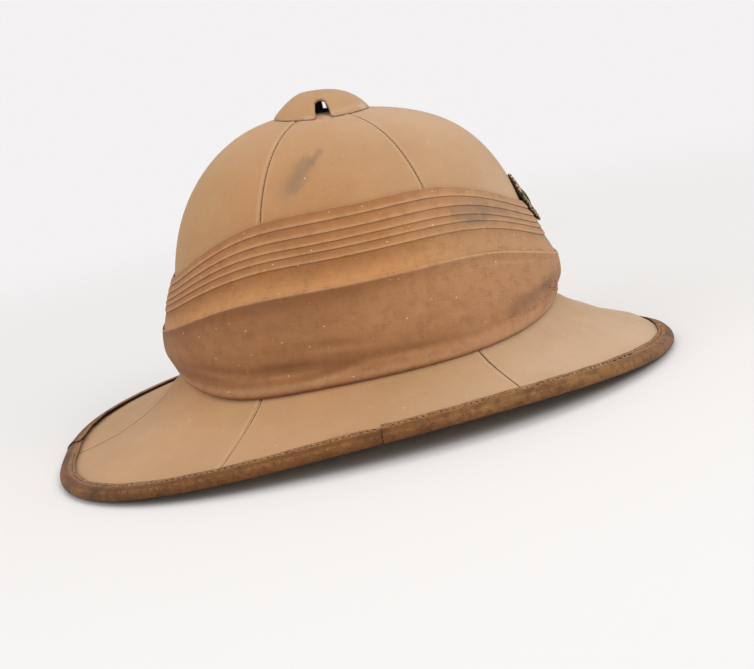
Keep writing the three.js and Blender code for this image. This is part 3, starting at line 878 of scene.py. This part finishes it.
def foldSection(h, line):
    top, bottom = edgeAt("foldTop", h), edgeAt("wrapTop", h) - scarf["behind"]
    against, outer = scarf["against"], pleats[0][1]
    half = (outer - against) / 2
    upper = top - half + scarf["topWander"] * wander(h, 70)
    inner = np.linspace(bottom, upper, scarf["innerRows"])
    turn = np.radians([150, 110, 70, 30])
    rolled = [upper + half * np.sin(turn), against + half + half * np.cos(turn), 0 * turn + 0.35, [0, 0.3, 0.5, 0.3]]
    parts = [np.array(rolled)]
    for number, (share, tucked, free) in enumerate(pleats):
        last = number == len(pleats) - 1
        if number > 0:
            upper, tucked = upper + scarf["hidden"], tucked + push * 0.5 - scarf["tight"]
        if last:
            lower, push = bottom, frontPush(h)
        else:
            lower = top - (top - bottom) * share + scarf["edgeWander"] * wander(h, 80 + number, (2, 5, 9))
            push = scarf["proudWander"] * wander(h, 90 + number, (3, 7, 13))
        parts.append(pleatLine(upper, lower, tucked, free + push, last))
        upper = lower
    parts.append(np.array([inner, 0 * inner + against, 0 * inner, 0 * inner]))
    height, proud, fadeAndShade, rub = np.hstack(parts)
    return *line.at(height, proud), fadeAndShade, rub


# the wrap's face at one heading, evenly spaced down it, and its creases
def wrapFace(h, line, top, bottom):
    share, proud = np.array(wrap["bulge"]).T
    knots = np.stack(line.at(top - (top - bottom) * share, proud + frontPush(h) * (1 - share) ** 2), axis=1)
    far = runLength(knots)
    share = np.linspace(0, 1, wrap["rows"])
    face = soften(alongRun(knots, far, share * far[-1]), 22)
    outward = leftOf(unit(np.gradient(face, axis=0)))
    crease = 0 * share
    for middle, half, at, slope, depth, width in wrap["creases"]:
        away = turnFrom(h, math.radians(middle)) / math.radians(half)
        across = (share - at - slope * away) / width
        crease = crease + depth * hump(away, 0, 1) * (hump(across, 0.8, 1) - 1.2 * hump(across, -0.8, 1))
    push = crease + wander(h, 51, (3, 8, 15)) * np.sin(np.pi * share) * 0.25
    return share, face + outward * push[:, None], crease


def wrapSection(h, line):
    top, bottom = edgeAt("wrapTop", h), edgeAt("wrapBottom", h) - wrap["sagDrop"] * window(h, *wrap["sag"])
    share, face, crease = (k[1:] for k in wrapFace(h, line, top, bottom))
    proud, rise, lipFadeAndShade, lipRub = np.array(wrap["lip"]).T
    lipRub = lipRub * (0.2 + 0.7 * ramp(math.cos(h), 0.2, 0.6))  # paler towards the front
    proud = proud + frontPush(h) * np.linspace(0, 1, len(proud)) ** 0.5 * (proud > wrap["lipFrom"])
    lipR, lipZ = line.at(0 * proud + top, proud)
    lowProud, lowRise = np.array(wrap["low"]).T
    lowR, lowZ = line.at(bottom + lowRise, lowProud)
    inner = np.linspace(bottom + 1.2, top - 1.3, scarf["innerRows"])
    innerR, innerZ = line.at(inner, 0 * inner + scarf["against"])
    r = np.concatenate([lipR, face[:, 0], lowR, innerR])
    z = np.concatenate([lipZ + rise + wrap["lipWander"] * wander(h, 61, (2, 5, 9)), face[:, 1], lowZ, innerZ])
    hidden = np.zeros(len(lowR) + len(inner))
    # painted shade in the creases' dips and painted light on their ridges, added to the shade down the face
    fadeAndShade = np.concatenate([lipFadeAndShade, np.interp(share, *wrap["fadeAndShade"]) + 0.35 * crease, hidden])
    return r, z, fadeAndShade, np.concatenate([lipRub, np.interp(share, *wrap["rub"]), hidden])


def makeScarf(name, sectionAt, node, material):
    h = turns(scarf["rings"], np.pi / 2)
    r, z, fadeAndShade, rub = (np.array(k) for k in zip(*[sectionAt(each, CoverLine(each)) for each in h]))
    grid = place(r, z, h)
    piece = gridPiece(name, grid, ring=True, tube=True, values={"fadeAndShade": fadeAndShade, "rubbed": rub})
    finishPiece(piece, [node], material)


makeScarf("puggaree_pleats", foldSection, "puggaree_folds", foldCloth)
makeScarf("puggaree_band", wrapSection, "puggaree_wrap", wrapCloth)
print("puggaree made")


# Leather strip folded over the brim's edge in two lengths
strip = {
    "innerHalf": 1.95,
    "thickness": 1.0,
    "width": 7.0,
    "noseGap": 0.3,
    "jointSide": -93.0,
    "jointBack": 173.5,
    "halfJoint": 0.2,
    "step": 0.7,  # degrees
    "pad": 0.55,
    "holeRow": 5.0,  # millimetres in from the brim's edge
    "holeSink": 0.18,
    "flatSink": 0.65,  # how much lower it lies along the far edge
    "flatInset": 1.7,
    "flatCut": 0.55,
    "widthWander": 0.3,
    "widthEnds": (0.5, -1.3, -2.0),  # change of width at the near end, the far end and along the flat length
    "ragged": (0.5, 0.7),  # unevenness of the cut edge where it is loose and where it is torn
    "puff": (0.25, -0.25, 0.65),  # change of height at the near, far and torn ends
    "bow": 0.05,
    "endReach": (4.0, 6.0, 8.0),  # millimetres over which the near, far and torn ends show
    "loose": (160.0, 11.0),  # middle heading and half length of the stretch that lifts
    "lift": 1.1,
    "liftReach": 1.8,
    "slits": (-36.4, -29.4),  # headings between which the stitches have torn through
}
bindingRows = {  # millimetres in from the edge, pitch and lift of each row, then the size of its bits
    "binding_needle_holes": ((strip["holeRow"], 3.2, 0.03), (1.3, 1.0, 0.2, 0.25, 4, 8)),
    "binding_slits": ((4.1, 4.6, 0.08), (3.0, 1.5, 0.36, 0.45, 7, 8)),
    "binding_thread": ((3.5, 2.4, 0.02), (1.7, 0.32, 0.22, 0.3, 9, 6)),
}


# the middle of the brim's edge, outwards and upwards, at each heading
def rimFrame(h):
    h = np.asarray(h, float)
    last, near = (np.stack(brimPoint(h, t), axis=-1) for t in (1.0, 5.0 / 6.0))
    out = unit(last - near)
    return last - helmet["stackHalf"] * leftOf(out), out, leftOf(out)


# the strip is sewn down along its holes and rounds out between them and the edge, less so where it lies flat
def stripPad(along, flat):
    pad = strip["pad"] * np.sin(np.pi * np.clip((along + 4.2) / 5.4, 0, 1))
    pad = pad - strip["holeSink"] * hump(along, -strip["holeRow"], 0.7)
    return pad * (1 - 0.8 * flat) - strip["flatSink"] * flat


def stripSection(h, near, far, torn):
    middle, out, up = rimFrame(h)
    flat, loose, ragged = flatEdge(h), window(h, *strip["loose"]), wander(h, 29, (61, 97, 149))
    gap, cut = strip["noseGap"], 1 - strip["flatCut"] * flat
    width = strip["width"] + strip["widthWander"] * wander(h, 21, (9, 19, 37))
    width = width + np.dot(strip["widthEnds"], (near, far, flat)) + np.dot(strip["ragged"], (loose, torn)) * ragged
    full = strip["innerHalf"] + strip["thickness"] + np.dot(strip["puff"], (near, far, torn))
    half, inner = full - strip["flatSink"] * flat, strip["innerHalf"] - 0.1 * flat
    lift = strip["lift"] * (loose + torn * (0.7 + 0.3 * ragged))
    t = np.linspace(0, 1, 14)
    along = (width + gap) * t - width
    across = full + stripPad(along, flat) + strip["bow"] * wander(h, 25, (11, 23, 41)) * np.sin(np.pi * t)
    across = across + lift * np.exp(-(along + width) / strip["liftReach"])
    edge = across[0]
    turn = np.radians(np.arange(15, 180, 15))
    under = np.linspace(gap, -0.9 * width, 8)
    rubTop = np.interp(along, [-3.4, -1.8, -0.5], [0.85, 0.3, 0.0])
    # the fold's nose: rubbed on top, painted shade below
    noseWearAndShade = np.interp(np.degrees(turn), [15, 55, 85, 120, 165], [0.5, 0.35, 0.05, -0.2, -0.4])
    tuckedIn = min(inner + lift * 0.7, edge - 0.7 * cut)
    parts = [  # along and across the strip, and how rubbed, with below nothing for painted shade: cut edge, top, nose, underside, then back inside
        ([0.25 - width, -0.12 - width, -0.05 - width], edge - cut * np.array([0.62, 0.38, 0.08]), [-0.8, -0.8, -0.6]),
        (along, across, rubTop),
        (gap + half * np.sin(turn), half * np.cos(turn), noseWearAndShade),
        (under, 0 * under - half, 0 * under),
        (under[::-1], 0 * under - inner, 0 * under),
        (gap + inner * np.sin(turn[::-1]), inner * np.cos(turn[::-1]), 0 * turn),
        ([gap, -width * 0.5, 0.6 - width], [inner, inner, tuckedIn], [0, 0, 0]),
    ]
    along, across, rub = (np.concatenate(k) for k in zip(*parts))
    point = middle + along[:, None] * out + across[:, None] * up
    return point[:, 0], np.maximum(point[:, 1], 0), rub


# shares say how much of the near, far and torn ends' looks this length has
def makeStrip(name, node, start, end, shares):
    h = np.linspace(start, end, int(math.degrees(end - start) / strip["step"]))
    away = [(h - start) * rimRadius(h), (end - h) * rimRadius(h), (end - h) * rimRadius(h)]
    ends = [hump(far, 0, reach) * share for far, reach, share in zip(away, strip["endReach"], shares)]
    r, z, rub = (np.array(k) for k in zip(*[stripSection(*each) for each in zip(h, *ends)]))
    grid = place(r, z, h)
    piece = gridPiece(name, grid, tube=True, caps=True, values={"rubbed": rub})
    finishPiece(piece, [node], bindingLeather)


sideJoint, backJoint = math.radians(strip["jointSide"]), math.radians(strip["jointBack"])
halfJoint = strip["halfJoint"] / helmet["rimWidth"]
makeStrip("binding_strip_front", "binding_front", sideJoint + halfJoint, backJoint - halfJoint, (1, 0, 1))
makeStrip("binding_strip_back", "binding_back", backJoint + halfJoint, sideJoint + 2 * math.pi - halfJoint, (0, 1, 0))
print("binding made")


# points along the strip's upper face, a set distance in from the edge
def stripRow(inset, pitch, lift):
    h = np.linspace(0, 2 * np.pi, 7200)
    middle, out, up = rimFrame(h)
    flat = flatEdge(h)
    inset = inset - strip["flatInset"] * flat
    rise = strip["innerHalf"] + strip["thickness"] + stripPad(-inset, flat) + lift
    r, z = (middle - inset[:, None] * out + rise[:, None] * up).T
    spots = place(r, z, h)
    far = runLength(spots)
    line = alongRun(np.column_stack([spots, h, up]), far, np.arange(0, far[-1] - pitch / 2, pitch))
    spots, heading = line[:, :3], line[:, 3]
    along = unit(np.roll(spots, -1, axis=0) - np.roll(spots, 1, axis=0))
    return spots, along, direction(line[:, 4], line[:, 5], heading), heading


def isSewn(h):
    return window(h, *strip["loose"]) <= 0.02


def hasHole(h):
    atJoint = [np.abs(turnFrom(h, joint)) < 0.02 for joint in (sideJoint, backJoint)]
    return isSewn(h) & ~atJoint[0] & ~atJoint[1]


def isTorn(h):
    turned = (np.degrees(h) + 180) % 360 - 180
    return (turned > strip["slits"][0]) & (turned < strip["slits"][1])


def hasThread(h):
    gone = (wander(h, 17, (7, 15, 33)) > 0.25) | (np.random.default_rng(5).random(len(h)) < 0.25)
    return isSewn(h) & ~gone


def makeBindingRow(name, isKept, finish):
    line, size = bindingRows[name]
    *row, heading = stripRow(*line)
    keep = isKept(heading)
    rowPiece(name, *(k[keep] for k in row), size, "binding_leather", thread[finish])


# fibres frayed at the front of the wrap, and a stray thread caught in the binding
fray = {
    "headings": (-23.0, -15.0),
    "shares": (0.5, 0.78),
    "count": 28,
    "size": (2.6, 0.26, 0.26, 0.5, 12, 6),
    "strayHeading": 355.2,
    "strayRow": (6.0, 0.8, 0.4),
    "straySize": (2.2, 0.6, 0.6, 0.2, 14, 6),
    "strayLean": ((0.0, 0.5, 0.8), (0.3, -0.6, 0.7), (0.2, 0.9, 0.2)),
}


def makeFray():
    rng = np.random.default_rng(23)
    spots, along = [], []
    for number in range(fray["count"]):
        h = math.radians(rng.uniform(*fray["headings"]))
        face = wrapFace(h, CoverLine(h), edgeAt("wrapTop", h), edgeAt("wrapBottom", h))[1]
        r, z = face[int(rng.uniform(*fray["shares"]) * len(face))]
        way = unit(direction(1.0, 0.0, h) * rng.uniform(0.2, 0.9) + rng.normal(0, 0.6, 3))
        spots.append(place(r, z, h) + way * fray["size"][0] * 0.25)
        along.append(way)
    outward = np.cross(along, [0.0, 0.0, 1.0])
    rowPiece("wrap_fray", spots, along, outward, fray["size"], "puggaree_cloth", thread["frayThread"])
    spots, along, outward, heading = stripRow(*fray["strayRow"])
    near = np.argsort(np.abs(np.degrees(heading) - fray["strayHeading"]))[:3]
    lean = np.array(fray["strayLean"])
    rowPiece("stray_thread", spots[near] + lean * 0.5, lean, outward[near], fray["straySize"], "binding_leather",
             thread["strayThread"])


# Sewing along the six seams, sunk in the grooves of the crown and level with the brim, and left out under the puggaree
sewingRows = (300, 200)
sewing = {  # seams, pitch, depth in the cloth, size of the stitches, thread
    "crown": ((0, 1, 2, 3, 4, 5), 2.1, 0.34, (1.75, 0.5, 0.4, 0.2, 3, 6), "seamThreadAndShade"),
    "brim_front": ((0, 1, 5), 2.3, 0.14, (2.1, 0.5, 0.4, 0.2, 3, 6), "seamThreadAndShade"),
    "brim_back": ((2, 3, 4), 2.3, 0.02, (3.4, 1.25, 0.4, 0.2, 3, 6), "brimThread"),
    "brim_back_holes": ((2, 3, 4), 2.1, -0.16, (0.9, 0.6, 0.3, 0.2, 3, 6), "brimHoleShade"),
}


def makeSewing(part):
    seams, pitch, depth, size, finish = sewing[part]
    rows = []
    for index in seams:
        h = math.radians(gores["seams"][index]) + seamTurn(index, *sewingRows)
        r, z, nr, nz = (k[0] for k in coverFace(h[None, :], *sewingRows))
        line = np.stack([r, z, h, nr, nz], axis=1)
        far = runLength(line[:, :2])
        r, z, turn, nr, nz = alongRun(line, far, np.arange(20, far[-1] - 8, pitch)).T
        bare = z > edgeAt("foldTop", h[0]) + 1.5 if part == "crown" else z < edgeAt("wrapBottom", h[0]) - 1.0
        spots = place(r - depth * nr, z - depth * nz, turn)
        along = unit(np.gradient(spots, axis=0))
        rows.append([k[bare] for k in (spots, along, direction(nr, nz, turn))])
    rowPiece(f"{part}_sewing", *(np.concatenate(k) for k in zip(*rows)), size, "cover_cloth", thread[finish])


# near-black bits painted as the shade inside the holes and slits
makeBindingRow("binding_needle_holes", hasHole, "holeShade")
makeBindingRow("binding_slits", isTorn, "holeShade")
makeBindingRow("binding_thread", hasThread, "bindingThread")
makeFray()
for part in sewing:
    makeSewing(part)
print("stitches made")


# Ventilator cap, bent to sit on the dome, with an arched air hole at each side
cap = {
    "radius": 26.5,
    "wall": 2.0,
    "holeHalf": 4.25,
    "holeFlare": 1.1,
    "holeSide": (0, 0.35, 0.9, 1.7, 2.8, 4.25),
    "seat": 0.3,
    "rows": 34,
    "lineCount": 80,
    "back": ((0, 11.4), (6, 11.35), (9, 11.1), (12.5, 10.0), (17.5, 7.3),  # distance out and height
             (22.5, 3.9), (25.4, 1.7), (26.4, 0.7), (26.5, 0)),
    "front": ((0, 11.4), (6, 11.3), (11, 10.6), (16, 9.0), (20.5, 6.6),
              (24, 3.6), (25.9, 1.5), (26.45, 0.7), (26.5, 0)),
}


def smoothCurve(points):
    points = np.array(points, float)
    far = runLength(points)
    return soften(alongRun(points, far, np.linspace(0, far[-1], cap["lineCount"])), 12)


# the outline of the cap's lower edge: round the foot, and up over both air holes
def capOutline():
    half, flare = cap["holeHalf"], cap["holeFlare"]
    rise = np.array(cap["holeSide"])
    side = np.stack([half + flare * np.exp(-rise / 0.7), rise], axis=1)
    turn = np.linspace(0, np.pi, 15)[1:-1]
    arch = np.stack([half * np.cos(turn), half + half * np.sin(turn)], axis=1)
    plain = np.linspace(0, np.pi, 60)
    edge = math.asin((half + flare) / cap["radius"]) + 0.02
    return np.concatenate([side, arch, side[::-1] * [-1, 1]]), plain[(plain > edge) & (plain < np.pi - edge)]


def capFace(shrink):
    backLine, frontLine = smoothCurve(cap["back"]), smoothCurve(cap["front"])
    hole, plain = capOutline()
    columns = []  # heading at the top, heading at the lower edge, height of the lower edge
    for side in (-1, 1):
        spread = np.linspace(-1, 1, len(hole)) * (plain[0] - 0.01)
        for top, (x, low) in zip(spread, hole):
            out = np.interp(-low, -backLine[:, 1], (frontLine[:, 0] + backLine[:, 0]) / 2)
            columns.append((side * np.pi / 2 + top, side * math.acos(x * side / out), low))
        columns += [(side * np.pi / 2 + a, side * np.pi / 2 + a, 0.0) for a in plain]
    t = np.linspace(0.004, 1, cap["rows"])
    grid = []
    for top, end, low in columns:
        h = top + (end - top) * t ** 3
        line = backLine + (frontLine - backLine) * (1 + math.cos(end)) / 2
        far = runLength(line)
        stop = np.interp(-low, -line[:, 1], far) if low > 0 else far[-1]
        face = alongRun(line, far, t * stop)
        out, rise = np.maximum(face - shrink * leftOf(unit(np.gradient(face, axis=0))), [0.02, 0]).T
        grid.append(place(out, domeHeight(h, out) + rise + cap["seat"], h))
    return np.array(grid)


def makeCap():
    outer, inner = capFace(0.0), capFace(cap["wall"])
    first, last = (0 * face[:, :1] + face[:, :1].mean(axis=0) for face in (outer, inner))
    piece = gridPiece("ventilator_cover", np.concatenate([first, outer, inner[:, ::-1], last], axis=1), ring=True)
    merge(piece)
    finishPiece(piece, ["ventilator_cap"], coverTwill)


# Screwed stem: a flange inside the crown, a collar in its hole and a slim threaded post up to the cap
stem = {
    "flange": 12.0,
    "flangeTop": -5.75,
    "flangeDepth": 1.5,
    "collar": 6.9,
    "collarRise": 1.0,
    "post": 2.5,
    "lean": -1.0,
    "head": 3.5,
    "thread": 0.18,
    "turns": 7,
    "top": 9.2,
    "sides": 40,
}


def makeStem():
    flange, collar, post, head = (stem[k] for k in ("flange", "collar", "post", "head"))
    seat, top, rise = stem["flangeTop"], stem["top"], stem["collarRise"]
    low, foot, neck = seat - stem["flangeDepth"], rise + 0.6, top - 1.4
    profile = [(0, low), (flange - 0.2, low), (flange, low + 0.2), (flange, seat - 0.2), (flange - 0.2, seat),
               (collar, seat), (collar, rise - 0.25), (collar - 0.25, rise),
               (post + 0.9, rise), (post + 0.3, rise + 0.3)]
    for height in np.linspace(foot, neck, 4 * stem["turns"] + 1):
        turn = 2 * math.pi * stem["turns"] * (height - foot) / (neck - foot)
        profile.append((post + stem["thread"] * math.sin(turn), height))
    profile += [(head, top - 0.9), (head, top - 0.15), (head - 0.15, top), (0, top)]
    out, height = np.array(profile[::-1]).T
    h = turns(stem["sides"])[:, None]
    out = out + 0 * h
    grid = place(out, domeHeight(h, out) + height, h)
    grid[..., 0] += np.where((height > rise) & (height < top - 1.2), stem["lean"], 0.0)
    rub = np.where(height > rise, 0.35, 0.1) + 0 * h
    piece = gridPiece("ventilator_post", grid, ring=True, values={"rubbed": rub})
    merge(piece)
    finishPiece(piece, ["ventilator_stem"], stemBrass)


# Badge: an oval plate bent to the crown, with a raised edge, a wreath and a plain boss
badge = {
    "width": 27.0,
    "height": 31.0,
    "plate": 1.2,
    "edgeWidth": 1.6,
    "edgeRise": 0.6,
    "boss": 5.5,
    "bossRise": 1.6,
    "dome": ((0.0, 1.0), (0.25, 0.97), (0.5, 0.86), (0.75, 0.66), (0.93, 0.35), (1.0, 0.03)),
    "x": 108.3,
    "z": 94.6,
    "tilt": 23.0,
    "bend": 75.0,  # radius of the bend across it
    "backing": 0.9,
    "sides": 72,
}
wreaths = {  # count, share of the oval, lean, lift and size of the bits
    "badge_leaves": (16, 0.70, 0.6, 0.2, (6.0, 2.6, 1.4, 0.1, 2, 8)),
    "badge_beads": (30, 0.855, 0.0, 0.2, (1.1, 1.1, 1.3, 0.05, 6, 8)),
    "badge_edge_leaves": (34, 0.965, 0.75, -0.2, (2.9, 1.5, 1.5, 0.2, 8, 6)),
}


def onBadge(across, up, out):
    lean, level = math.sin(math.radians(badge["tilt"])), math.cos(math.radians(badge["tilt"]))
    out = out - across ** 2 / (2 * badge["bend"])
    return np.array([badge["x"] - lean * up + level * out, across, badge["z"] + level * up + lean * out])


def makeBadge():
    a, b = badge["width"] / 2, badge["height"] / 2
    base, rim, boss = badge["plate"], badge["plate"] + badge["edgeRise"], badge["boss"]
    inner = 1 - badge["edgeWidth"] / a
    profile = [(s * boss / a, base + badge["bossRise"] * k, -1.0) for s, k in badge["dome"]]
    profile += [  # share of the oval, height, how worn
        ((boss + 0.5) / a, base, 0.0), ((boss + 1.0) / a, base + 0.35, 0.6), ((boss + 1.5) / a, base, 0.0),
        (inner - 0.05, base, 0.0), (inner, base + 0.1, 0.0), (inner + 0.03, rim - 0.1, 0.5), (inner + 0.06, rim, 0.7),
        (0.975, rim, 0.7), (1.0, rim - 0.25, 0.5), (1.0, 0.25, 0.1),
    ]
    front = len(profile)
    profile += [(s, 0.0, 0.0) for s in (0.98, 0.8, 0.4, 0.0)]
    grid = []
    for angle in turns(badge["sides"])[::-1]:
        row = []
        for number, (s, rise, worn) in enumerate(profile):
            up = s * b * math.sin(angle)
            pad = badge["backing"] * math.sin(math.pi * up / b) if up > 0 and number >= front else 0.0
            row.append(onBadge(s * a * math.cos(angle), up, rise - pad))
        grid.append(row)
    rub = np.broadcast_to([worn for s, rise, worn in profile], (badge["sides"], len(profile)))
    piece = gridPiece("badge_plate", grid, ring=True, values={"rubbed": rub})
    merge(piece)
    finishPiece(piece, ["badge"], badgeBrass)


def makeWreath(name):
    count, share, lean, lift, size = wreaths[name]
    a, b = badge["width"] / 2 * share, badge["height"] / 2 * share
    turn = 2 * np.pi * (np.arange(count) + 0.5) / count
    middle = onBadge(0.0, 0.0, 0.0)
    right = onBadge(1.0, 0.0, 1 / (2 * badge["bend"])) - middle
    up, out = onBadge(0.0, 1.0, 0.0) - middle, onBadge(0.0, 0.0, 1.0) - middle
    spots = [onBadge(a * math.cos(t), b * math.sin(t), badge["plate"] + lift) for t in turn]
    along = [right * -math.sin(t + lean) + up * math.cos(t + lean) for t in turn]
    rowPiece(name, spots, along, [out] * count, size, "badge_metal", badgeBrass, rub=0.55)


makeCap()
makeStem()
makeBadge()
for name in wreaths:
    makeWreath(name)
print("ventilator and badge made")


# Floor, light and camera
stage = {
    "floor": (0.76, 0.75, 0.745),
    "floorHalf": 40000.0,
    "floorDrop": 0.2,
    "sky": (1.0, 0.995, 0.99),
    "skyLight": 0.74,
    "backdrop": (0.90, 0.885, 0.885),
    "fadeAndShade": (0.26, 0.95),  # metres from the middle where the floor, with the shade on it, fades into the backdrop
    "aim": (0.0, 0.0, 0.07),
}
lamps = {  # place in metres, size, watts, colour
    "key": ((1.05, -1.15, 1.35), 1.1, 14.0, (1.0, 0.985, 0.965)),
    "fill": ((-1.3, -0.9, 0.9), 1.2, 7.5, (1.0, 0.99, 0.98)),
    "top": ((0.1, 0.25, 1.7), 1.3, 6.0, (1.0, 0.99, 0.98)),
}
view = {
    "yaw": -1.74,
    "elevation": 12.12,
    "roll": -11.9,
    "distance": 972.85,
    "focal": 1705.86,  # in pixels of the picture's width
    "imageWidth": 754.0,
    "target": (11.79, 0.0, 35.28),
}


# the floor turns into the even backdrop away from the helmet
def makeFloor():
    far, low = stage["floorHalf"], -stage["floorDrop"]
    floor = newPiece("floor", [(-far, -far, low), (far, -far, low), (far, far, low), (-far, far, low)], [(0, 1, 2, 3)])
    material, shader, where = newFinish("paleFloor", 0.85, Specular_IOR_Level=0.1, Base_Color=(*stage["floor"], 1.0))
    away = where.vector("LENGTH", {0: where}, 1).between(*stage["fadeAndShade"])
    glow = where.add("ShaderNodeEmission", {}, {"Color": stage["backdrop"]})
    both = where.add("ShaderNodeMixShader", {}, {0: away, 1: Wire(where.tree, shader.outputs[0]), 2: glow})
    where.tree.links.new(both.socket, where.tree.nodes["Material Output"].inputs[0])
    floor.data.materials.append(material)


def makeLights():
    for name, (spot, size, watts, color) in lamps.items():
        data = bpy.data.lights.new(name, "AREA")
        data.size, data.energy, data.color = size, watts, color
        light = addObject(name, data)
        light.location = spot
        light.rotation_euler = (Vector(stage["aim"]) - Vector(spot)).to_track_quat("-Z", "Y").to_euler()
    world = bpy.data.worlds.new("studio")
    world.use_nodes = True
    wire = Wire(world.node_tree)
    lit = wire.add("ShaderNodeBackground", {}, {"Color": stage["sky"], "Strength": stage["skyLight"]})
    seen = wire.add("ShaderNodeBackground", {}, {"Color": stage["backdrop"]})
    direct = wire.add("ShaderNodeLightPath", {}, {}, "Is Camera Ray")
    both = wire.add("ShaderNodeMixShader", {}, {0: direct, 1: lit, 2: seen})
    wire.tree.links.new(both.socket, wire.tree.nodes["World Output"].inputs[0])
    bpy.context.scene.world = world


def makeCamera():
    yaw, rise, roll = (math.radians(view[k]) for k in ("yaw", "elevation", "roll"))
    back = Vector((math.sin(yaw) * math.cos(rise), -math.cos(yaw) * math.cos(rise), math.sin(rise)))
    level = Vector((math.cos(yaw), math.sin(yaw), 0.0))
    upright = back.cross(level)
    right = level * math.cos(roll) + upright * math.sin(roll)
    up = upright * math.cos(roll) - level * math.sin(roll)
    data = bpy.data.cameras.new("photo")
    data.sensor_fit, data.sensor_width = "HORIZONTAL", 36.0
    data.lens = view["focal"] / view["imageWidth"] * data.sensor_width
    data.clip_start, data.clip_end = 0.05, 50.0
    camera = addObject("photo", data)
    spot = Vector(view["target"]) * mm + back * view["distance"] * mm
    camera.matrix_world = Matrix.Translation(spot) @ Matrix((right, up, back)).transposed().to_4x4()
    bpy.context.scene.camera = camera


makeFloor()
makeLights()
makeCamera()
bpy.context.scene.view_settings.view_transform = "Standard"
